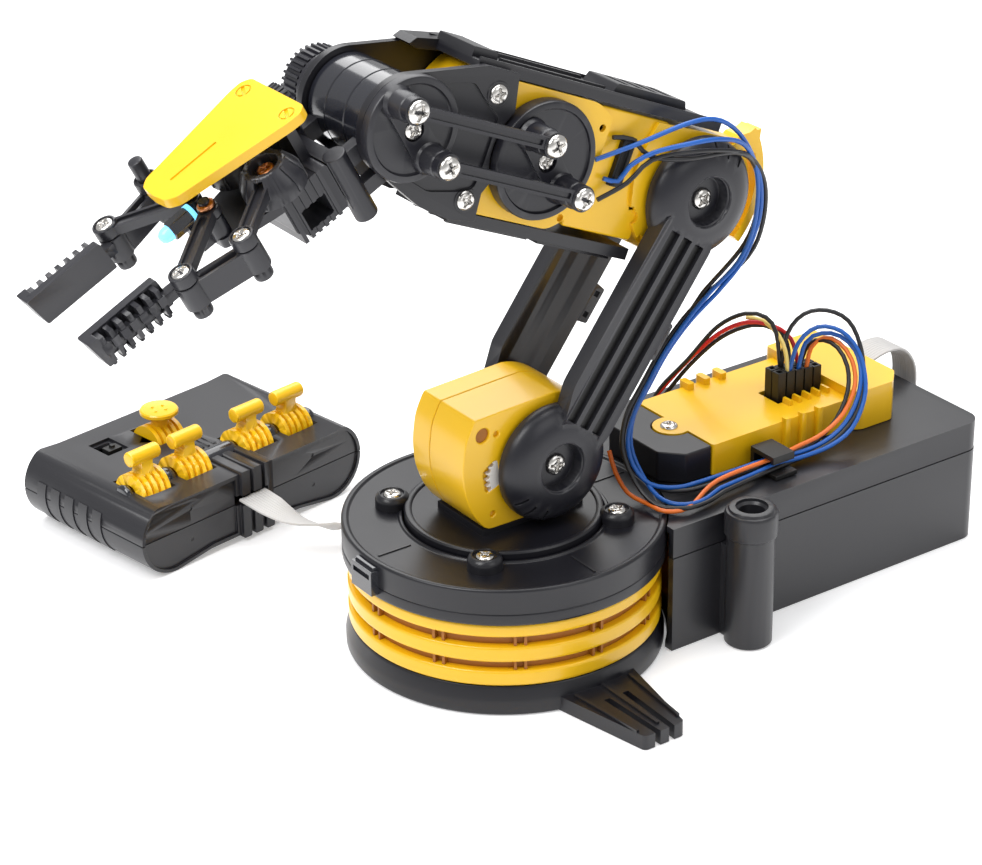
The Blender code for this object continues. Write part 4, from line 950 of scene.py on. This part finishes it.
def make_side_plates():
    for name, sign in (("left", 1), ("right", -1)):
        front = arc(WRIST_AT, 0, 15.5, -75, 72, 24)
        outline = [(80.6, 9), (80.6, -8), (83.6, -14), (82.6, -22.7), (92, -23.8), (104, -22)] + front \
            + [(96.2, 22.8), (84.2, 22.8)]
        lips = []
        if sign < 0:
            lips.append(prism([(88, 21.6), (104, 19.4), (107, 20.4), (105, 22.6), (90, 25.0)],
                              *span(sign, 8.0, 17.0), "y"))
        dish = [(86.5, 9), (86.5, -8), (87, -13), (92, -15), (103, -17)] \
            + arc(WRIST_AT, 0, 12.6, -80, 76, 20) + [(99, 17), (92, 12)]
        boss = [rod(x, z, 3.9, *span(sign, 14.6, 17.3), "y", 28) for x, z in PLATE_SCREWS]
        cutters = [rod(DRIVE_AT, 0, DOME_R - 0.1, -40, 40, "y", 96), rod(WRIST_AT, 0, 4.9, -40, 40, "y", 32),
                   soft_prism(dish, 1.5, *span(sign, 16.2, 20), "y", n=3)]
        skin(f"side_plate_{name}", solid(prism(outline, *span(sign, 14.3, 17.0), "y"), lips + boss, cutters,
                                             bevel=0.35), "forearm", BLACK, F_FRAME)
        for x, z in PLATE_SCREWS:
            screw("forearm", F_FRAME, (x, 17.2 * sign, z), (0, sign, 0), 3.1)


# ---------------------------------------------------------------- wrist drive

CRANK_R, CRANK_DEG, POST_OUT = 10.8, 38.3, 27.7


def crank_mesh(y0, y1, r, deg, hub):
    """A disc with two posts for the push rods, deg round from level."""
    prof = [(0, y0), (r - 0.5, y0), (r, y0 + 0.5), (r, y1 - 0.8), (r - 0.3, y1 - 0.2), (r - 0.9, y1),
            (r - 2.2, y1), (r - 2.5, y1 - 0.7), (r - 2.8, y1 - 0.9), (0, y1 - 0.9)]
    posts, wedge = [], []
    for k in (-1, 1):
        px, pz = k * CRANK_R * cos(radians(deg)), k * CRANK_R * sin(radians(deg))
        posts.append(lathe([(0, y0 + 1), (5.4, y0 + 1), (5.2, y1), (4.4, y1 + 1.2), (4.3, 27.0),
                            (3.9, POST_OUT), (2.0, POST_OUT), (2.0, 31.2), (0, 31.2)], px, pz, "y", 32))
        wedge.append(bar((0, 0), (px, pz), 4.6, y0 + 1, y1 + 0.4, "y"))
    return solid(lathe(prof, 0, 0, "y", 96), posts + wedge + hub,
                 [rod(0, 0, 3.4, y1 - 1.2, 40, "y", 32)], bevel=0.25)


def make_wrist_drive():
    skin("drive_disc", crank_mesh(14.3, 19.4, DOME_R - 1.0, CRANK_DEG,
                                      [rod(0, 0, 4.0, -11, 14.8, "y", 24)]), "wrist_drive", GREY, D_FRAME)
    turn = CRANK_DEG + FORE_DEG - HAND_DEG
    skin("crank_disc", crank_mesh(17.4, 20.8, 16.0, turn, [rod(0, 0, 4.5, 14.2, 18, "y", 32)]),
        "hand", GREY, H_FRAME)
    screw("wrist_drive", D_FRAME, (0, 18.4, 0), (0, 1, 0), 3.0)
    screw("hand", H_FRAME, (0, 19.8, 0), (0, 1, 0), 3.2, rise=1.6)
    for k in (-1, 1):
        for body, at, deg in (("wrist_drive", D_FRAME, CRANK_DEG), ("hand", H_FRAME, turn)):
            p = (k * CRANK_R * cos(radians(deg)), 31.0, k * CRANK_R * sin(radians(deg)))
            screw(body, at, p, (0, 1, 0), 3.6, rise=1.5)
    reach = WRIST_AT - DRIVE_AT
    for name, k in (("upper", 1), ("lower", -1)):
        x, z = CRANK_R * k * cos(radians(CRANK_DEG)), CRANK_R * k * sin(radians(CRANK_DEG))
        at = D_FRAME @ Matrix.Translation((x, 0, z))
        pockets = [soft_prism([(5, 0.9), (reach - 5, 0.9), (reach - 5, -0.9), (5, -0.9)], 0.4,
                              29.9, 32, "y", n=2)]
        rod_mesh = solid(bar((0, 0), (reach, 0), 1.9, 28.2, 30.6, "y"),
                         [rod(e, 0, 4.1, 28.0, 30.8, "y", 40) for e in (0, reach)],
                         [rod(e, 0, 2.4, 20, 40, "y", 24) for e in (0, reach)] + pockets, bevel=0.3)
        skin(f"push_rod_{name}", rod_mesh, f"rod_{name}", GREY, at)


# ---------------------------------------------------------------- hand

def gear_outline(r, teeth, depth):
    """A toothed outline."""
    pts = []
    for k in range(teeth):
        for dr, da in ((-depth, -0.30), (0, -0.17), (0, 0.17), (-depth, 0.30)):
            a = 2 * pi * (k + da) / teeth
            pts.append(((r + dr) * cos(a), (r + dr) * sin(a)))
    return pts


def make_wrist_drum():
    edge = []
    for y0, y1 in ((-13.9, -5.2), (-4.8, 4.8), (5.2, 13.9)):
        edge += [(13.3, y0), (13.6, y0 + 0.25), (13.6, y1 - 0.25), (13.3, y1)]
    skin("wrist_drum", lathe([(0, -13.9)] + edge + [(0, 13.9)], 0, 0, "y", 96), "hand", GLOSSY,
        H_FRAME)
    arms, cuts = [], []
    for y0, y1 in ((9.5, 13.6), (-13.6, -9.5)):
        mid = (y0 + y1) / 2
        arms += [box(9, 24, y0, y1, -1.5, 4.0), box(9, 24, y0, y1, -12.5, -8.0),
                 soft_rod(21.4, mid, 3.6, -18.5, 5.2)]
    arms.append(box(20.5, 25.0, -13.0, 13.0, -13.0, 5.0))
    cuts.append(box(18, 30, -6, 6, -8.5, 0.5))
    piece("hand_frame", solid(arms[0], arms[1:], cuts, bevel=0.4), "hand", GREY, H_FRAME)
    wheel = prism(gear_outline(11.5, 34, 0.9), -32.2, -24.5, "y")
    rest = [lathe([(0, -33), (9.2, -33), (10.2, -32.2), (10.2, -24.6), (11.2, -24.2), (11.4, -23.6),
                   (11.4, -18.4), (11.0, -17.7), (0, -17.7)], 0, 0, "y", 72),
            rod(0, 0, 4.5, -18.5, -14.2, "y", 24)]
    skin("wrist_wheel", solid(wheel, rest, [rod(0, 0, 5.5, -34, -31.8, "y", 48)], bevel=0.15),
        "hand", GREY, H_FRAME)


def make_gripper_housing():
    posts = []
    for sign in (1, -1):
        posts += [rod(40.6, 10.0 * sign, 3.0, 4, 14.8, n=32), rod(59.5, 5.0 * sign, 2.9, 4, 10.9, n=24),
                  rod(59.5, 5.0 * sign, 1.7, 4, 17.0, n=20)]
        screw("hand", H_FRAME, (40.6, 10.0 * sign, 14.9), (0, 0, 1), 2.7, "copper", 0.8)
        screw("hand", H_FRAME, (59.5, 5.0 * sign, 15.2), (0, 0, 1), 2.8, "copper", 1.0)
    ribs = [box(28 + 2.6 * k, 29.3 + 2.6 * k, -13.4, 13.4, -11.4, 5.4) for k in range(6)]
    base = soft_prism([(25.3, -13), (43, -13), (50, -11.5), (62, -8), (62, 8), (50, 11.5), (43, 13),
                          (25.3, 13)], 1.5, 1.5, 4.6)
    back = soft_prism([(25.3, -11), (25.3, 5.2), (43, 5.2), (43, -7), (39, -11)], 1.2, -13, 13, "y")
    web = box(25.3, 28.6, -5, 5, 4, 22.4)
    nose = box(60, 66, -2.4, 2.4, 1.5, 9.2)
    skin("gripper_housing", solid(base, [back, web, nose] + ribs + posts,
                                      [box(30, 39, -20, 20, -9, -2)], bevel=0.35), "hand", GREY, H_FRAME)
    barrel = moved(prism(gear_outline(7.1, 26, 0.5), 17.2, 27.0, "x"), Matrix.Translation((0, -12.5, 12.8)))
    cap = lathe([(0, 16.6), (5.6, 16.6), (6.4, 17.2), (6.4, 27), (7.0, 27.4), (7.0, 30.2), (6.4, 30.6),
                 (0, 30.6)], -12.5, 12.8, "x", 48)
    skin("gripper_motor", solid(barrel, [cap], bevel=0.15), "hand", GREY, H_FRAME)


def make_shield():
    corners = [(22.8, -13.8), (22.8, 13.8), (25.5, 16), (30, 15.8), (66.5, 8.6), (69.3, 6.0), (69.8, 0),
               (69.3, -6.0), (66.5, -8.6), (30, -15.8), (25.5, -16)]
    cuts = [soft_prism([(46, -0.5), (63, -0.5), (63, 0.5), (46, 0.5)], 0.3, 25.3, 27, n=2)]
    for sign in (1, -1):
        p = Matrix.Translation((27.6, 11.6 * sign, 0)) @ Matrix.Rotation(radians(62), 4, "Z")
        ring = lathe([(2.0, 25.3), (2.5, 25.3), (2.5, 27), (2.0, 27)], n=40)
        slot = box(-2.5, 2.5, -0.55, 0.55, 25.1, 27)
        cuts += [moved(ring, p), moved(slot, p)]
    skin("shield", solid(soft_prism(corners, 1.2, 22.7, 25.8, n=3), (), cuts, bevel=0.7, steps=4),
        "hand", YELLOW, H_FRAME)


def make_lamp():
    holder = lathe([(0, 62.6), (3.1, 62.6), (3.1, 70.6), (2.8, 71.0), (2.5, 71.0), (2.4, 69.5), (0, 69.5)],
                   0, 12.6, "x", 6)
    lens = lathe([(0, 69), (2.3, 69), (2.4, 72.0), (2.0, 73.6), (1.2, 74.5), (0, 74.8)], 0, 12.6, "x", 40)
    band = lathe([(3.0, 62.4), (3.25, 62.4), (3.25, 63.8), (3.0, 63.8)], 0, 12.6, "x", 40)
    piece("lamp_holder", solid(holder, bevel=0.25), "hand", GLOSSY, H_FRAME, ["lamp"])
    piece("lamp_lens", lens, "hand", LAMP, H_FRAME)
    piece("lamp_collar", band, "hand", LAMP, H_FRAME)


GEAR_AT, GEAR_Y, LINK_AT, LINK_Y, LINK_LEN, LINK_DEG, JAW_Y = 40.6, 10.0, 59.5, 5.0, 26.7, 38.2, 14.5
LINK_LO, LINK_HI = 11.3, 14.2


def channel(p, q, half, lo, hi):
    """A pocket along the top of a link."""
    d = (Vector(q) - Vector(p)).normalized()
    a, b = Vector(p) + d * 4.6, Vector(q) - d * 4.6
    return bar(tuple(a), tuple(b), half, lo, hi, n=4)


def link_cuts(p, q):
    """The bore and screw seat at a link's outer end, and the pocket along it."""
    return [rod(*q, 2.1, 0, 30, n=20), rod(*q, 3.1, 14.2, 30, n=32), channel(p, q, 1.4, 13.3, 16)]


def make_grip_side(side, sign):
    """The gear with its rear link, the front link and the jaw, for one side of the gripper."""
    ds, dy = LINK_LEN * cos(radians(LINK_DEG)), sign * LINK_LEN * sin(radians(LINK_DEG))
    rear = (GEAR_AT + ds, sign * GEAR_Y + dy)
    front = (LINK_AT + ds, sign * LINK_Y + dy)
    gear_c, link_c = (GEAR_AT, sign * GEAR_Y), (LINK_AT, sign * LINK_Y)
    hub = lathe([(3.5, 7.0), (8.4, 7.0), (9.6, 7.4), (9.6, 10.6), (8.8, 12.6), (6.6, 16.4), (6.0, 16.9),
                 (4.8, 16.9), (4.5, 16.4), (4.4, 14.0), (3.5, 14.0)], *gear_c, n=64)
    fins = []
    for k in range(10):
        p = Matrix.Translation((*gear_c, 0)) @ Matrix.Rotation(radians(36 * k), 4, "Z")
        fins.append(moved(prism([(4.8, 8), (9.9, 8), (9.9, 10.8), (9.1, 12.9), (6.9, 16.6), (4.8, 16.6)],
                                -0.45, 0.45, "y"), p))
    rear_link = [bar(gear_c, rear, 2.4, LINK_LO, LINK_HI), soft_rod(*rear, 3.8, LINK_LO - 0.2, 15.0)]
    bores = [rod(*gear_c, 3.45, 0, 30, n=32)] + link_cuts(gear_c, rear)
    skin(f"gear_{side}", solid(hub, fins + rear_link, bores, bevel=0.25), f"grip_{side}", GREY, H_FRAME)
    ends = [soft_rod(*front, 3.8, LINK_LO - 0.2, 15.0), soft_rod(*link_c, 3.3, LINK_LO, LINK_HI)]
    bores = [rod(*link_c, 2.1, 0, 30, n=20)] + link_cuts(link_c, front)
    skin(f"link_{side}", solid(bar(link_c, front, 2.4, LINK_LO, LINK_HI), ends, bores, bevel=0.3),
        f"front_link_{side}", GREY, H_FRAME)
    make_jaw(side, sign, rear, front)


def make_jaw(side, sign, rear, front):
    s0, s1 = 86.5, 113.2

    def jaw_span(a, b):
        return span(sign, JAW_Y + a, JAW_Y + b)
    pad = soft_prism([(s0 - 1, 5.3), (s1 - 2.0, 5.3), (s1, 15.3), (s0, 15.3)], 0.6,
                     *jaw_span(0, 3.0), "y", n=2)
    spine = soft_prism([(s0 - 4, 7.6), (s1 - 2.5, 7.6), (s1 - 1.6, 11.4), (s0 - 4, 10.9)], 0.4,
                       *jaw_span(2.0, 5.6), "y", n=2)
    head = soft_prism([(s1 - 4.5, 5.3), (s1 - 2.0, 5.3), (s1, 15.3), (s1 - 3.4, 15.3)], 0.4,
                      *jaw_span(0.5, 6.6), "y", n=2)
    solids = [pad, spine, head]
    for k in range(7):
        a = s0 + 1.6 + 3.35 * k
        solids.append(box(a, a + 1.5, *jaw_span(2, 6.6), 5.6, 14.6))
        solids.append(box(a - 0.5, a + 2.0, *jaw_span(5.6, 6.8), 9.0, 12.0))
        solids.append(soft_prism([(a + 0.1, 3.7), (a + 1.4, 3.7), (a + 1.5, 6), (a, 6)], 0.3,
                                 *jaw_span(2.6, 5.0), "y", n=1))
    for k, p in enumerate((rear, front)):
        solids += [soft_rod(*p, 3.8, 2.6, 10.9, edge=0.4), soft_rod(*p, 2.9, -1.0, 3.4, edge=0.6),
                   rod(*p, 1.7, 10.5, 14.5, n=20)]
        if side == "right" and k == 0:
            solids.append(soft_rod(*p, 2.3, 14.3, 21.6, edge=0.6))
        else:
            screw(f"jaw_{side}_body", H_FRAME, (*p, 14.3), (0, 0, 1), 2.8, rise=0.9)
    skin(f"jaw_{side}", solid(bar(rear, front, 2.4, 2.5, 10.6), solids,
                                  [channel(rear, front, 1.3, 8.8, 12)], bevel=0.25),
        f"jaw_{side}_body", GREY, H_FRAME)


# ---------------------------------------------------------------- hand controller

NEAR_U, FAR_U, LOBE_Z, CTRL_TOP = 5.0, 76.5, 14.0, 25.5


def dogbone(inset=0.0):
    """The controller's end outline: a round lobe at each side and a thinner middle."""
    r, top = LOBE_Z - inset, CTRL_TOP - inset
    rise = sqrt(max(r * r - (top - LOBE_Z) ** 2, 0.1))
    low = 2.2 + inset
    dip = sqrt(r * r - (LOBE_Z - low) ** 2)
    left = arc(NEAR_U, LOBE_Z, r, 124, 282, 32)
    right = arc(FAR_U, LOBE_Z, r, -102, 56, 32)
    return ([(NEAR_U - rise * 0.75, top + 0.6)] + left + [(NEAR_U + dip + 8, low), (FAR_U - dip - 8, low)]
            + right + [(FAR_U + rise * 0.75, top + 0.6), (74.5, top), (7.0, top)])


def mirrored(outline):
    """An outline turned over from the controller's near lobe to the far one."""
    return [(NEAR_U + FAR_U - x, z) for x, z in outline]


def make_controller():
    def slab(lo, hi):
        return box(-30, 120, -10, 90, lo, hi)

    def straps():
        return [soft_prism([(u, 1.2), (u + 3.6, 1.2), (u + 3.6, 26.6), (u, 26.6)], 0.6, -1.4, 20, "y", n=2)
                for u in (34.2, 39.4, 44.6)]

    def cavity():
        return prism(dogbone(2.4), 2.4, 61.6, "y")
    windows = [box(u - 6.9, u + 6.9, LEVER_M - 8.4, LEVER_M + 8.4, 13, 40) for u in LEVER_U]
    lobe = arc(5.0, 14.0, 12.7, 126, 281, 28) + [(22.0, 3.6), (32.6, 3.6), (32.6, 24.0), (26, 24.0),
                                                 (23, 22.4), (17, 22.4), (14, 24.2)]

    def faces():
        return [prism(pts, *depth, axis="y") for pts in (lobe, mirrored(lobe))
                for depth in ((-1, 0.9), (63.1, 66))]
    mouth = box(32.4, 45.8, -3, 4, 13, 17.6)
    marks = [rod(u, z, 0.7, -1, 1.2, "y", 16) for u in (13, 68.5) for z in (8.5, 20)]
    low = solid(prism(dogbone(), 0, 64, "y"), straps(), [slab(13.9, 60), cavity()] + faces() + marks[0::2],
                bevel=0.4)
    skin("controller_bottom", low, "root", BLACK, C_FRAME)
    for u, m, half_u, half_m, z in ((37, 45, 6.9, 8.4, 13), (17, 49, 4.5, 5.6, 24.4),
                                    (17, 49, 3.2, 4.4, 13)):
        windows.append(box(u - half_u, u + half_u, m - half_m, m + half_m, z, 40))
    spans = ((-2.5, 0.4), (14.6, 18.9), (33.1, 46.9), (61.1, 65.4), (79.6, 83.0))
    axle = merged([soft_rod(LEVER_M, LEVER_Z + 0.3, 4.3, a, b, "x", 32, 1.2) for a, b in spans])
    lines = [box(38.6 + 2.4 * k, 39.4 + 2.4 * k, 24, 34, 25.2, 25.9) for k in range(3)]
    high = solid(prism(dogbone(), 0, 64, "y"), straps() + lines,
                 [slab(-10, 14.2), cavity(), mouth] + faces() + windows + marks[1::2], bevel=0.4)
    skin("controller_top", high, "root", BLACK, C_FRAME)
    piece("lever_axle", axle, "root", GLOSSY, C_FRAME)
    side_grips = []
    for k in range(5):
        m = 22 + 7.5 * k
        rim = [(5 + 14.35 * cos(radians(a)), 14 + 14.35 * sin(radians(a))) for a in range(160, 236, 6)]
        inner = [(5 + 13.2 * cos(radians(a)), 14 + 13.2 * sin(radians(a))) for a in range(232, 156, -6)]
        for outline in (rim + inner, mirrored(rim + inner)):
            side_grips.append(prism(outline, m, m + 4.6, "y"))
    piece("controller_grips", merged(side_grips), "root", BLACK, C_FRAME)


def make_levers():
    start, pitch = -6.4, 2.62

    def hub(r=7.5):
        prof = [(3.8, start)]
        for k in range(5):
            a = start + pitch * k
            prof += [(r, a), (r, a + 1.5)]
            if k < 4:
                prof += [(r - 1.5, a + 1.6), (r - 1.5, a + 2.5)]
        return prof + [(3.8, start + pitch * 4 + 1.5)]
    for k, u in enumerate(LEVER_U):
        at = C_FRAME @ Matrix.Translation((u, LEVER_M, LEVER_Z))
        stem = soft_prism([(-3.4, 6.2), (-2.3, 9.5), (-2.4, 13), (2.4, 13), (2.3, 9.5), (3.4, 6.2)], 0.8,
                          -2.4, 2.4, "y", n=2)
        bar_top = soft_rod(0, 13.2, 2.7, -6.3, 6.3, "x", 32, 0.8)
        skin(f"lever_{k + 1}", solid(lathe(hub(), 0, 0, "x", 56), [stem, bar_top],
                                         [rod(0, 13.2, 0.9, 5.6, 8, "x", 16)], bevel=0.25),
            f"lever_{k + 1}", YELLOW, at)
    at = Matrix.Translation(joint_at("knob")) @ CTRL_TURN
    prof = [(0, start)] + [p for p in hub() if p[0] > 4] + [(0, start + pitch * 4 + 1.5)]
    stem = rod(0, 0, 3.0, 5, 11.5, n=32)
    top = lathe([(0, 10.6), (6.2, 10.6), (6.8, 11.2), (6.8, 12.2), (6.4, 12.7), (5.6, 12.6), (0, 12.3)],
                n=56)
    dots = [rod(2.6 * cos(a), 2.6 * sin(a), 0.5, 12.0, 12.8, n=12) for a in (0.4, 2.0, 3.6, 5.2)]
    skin("knob", solid(lathe(prof, 0, 0, "x", 56), [stem, top] + dots, bevel=0.2), "lamp_knob", YELLOW, at)
    switch = solid(box(14.1, 19.9, 45.0, 49.0, 18, 26.0), [box(16.2, 17.8, 46.2, 47.8, 25, 27.0)], bevel=0.2)
    skin("slide_switch", switch, "switch", DARK, C_FRAME)


# ---------------------------------------------------------------- what stays as it is in the frame

def finish_kept_nodes():
    looks = {"base_gearbox": YELLOW, "battery_cells": CELL, "circuit_board": BOARD, "shoulder_motor": CAN,
             "elbow_motor": CAN, "wrist_motor": CAN, "shoulder_shaft": GREY, "elbow_shaft": GREY}
    for node, look in looks.items():
        obj = frame["nodes"][node]
        for slot in obj.material_slots:
            slot.material = look


make_camera()
make_studio()
make_ribbon()
make_leads()
make_base_plate()
make_ring_housing()
make_top_plate()
make_battery_box()
make_control_cover()
make_plugs_and_clip()
make_turntable()
make_shoulder()
make_arm("upper_arm_left_skin", 1, "upper_arm_left")
make_arm("upper_arm_right_skin", -1, "upper_arm_right")
make_forearm_shells()
make_rails()
make_side_plates()
make_wrist_drive()
make_wrist_drum()
make_gripper_housing()
make_shield()
make_lamp()
make_grip_side("left", 1)
make_grip_side("right", -1)
make_controller()
make_levers()
make_screws()
finish_kept_nodes()
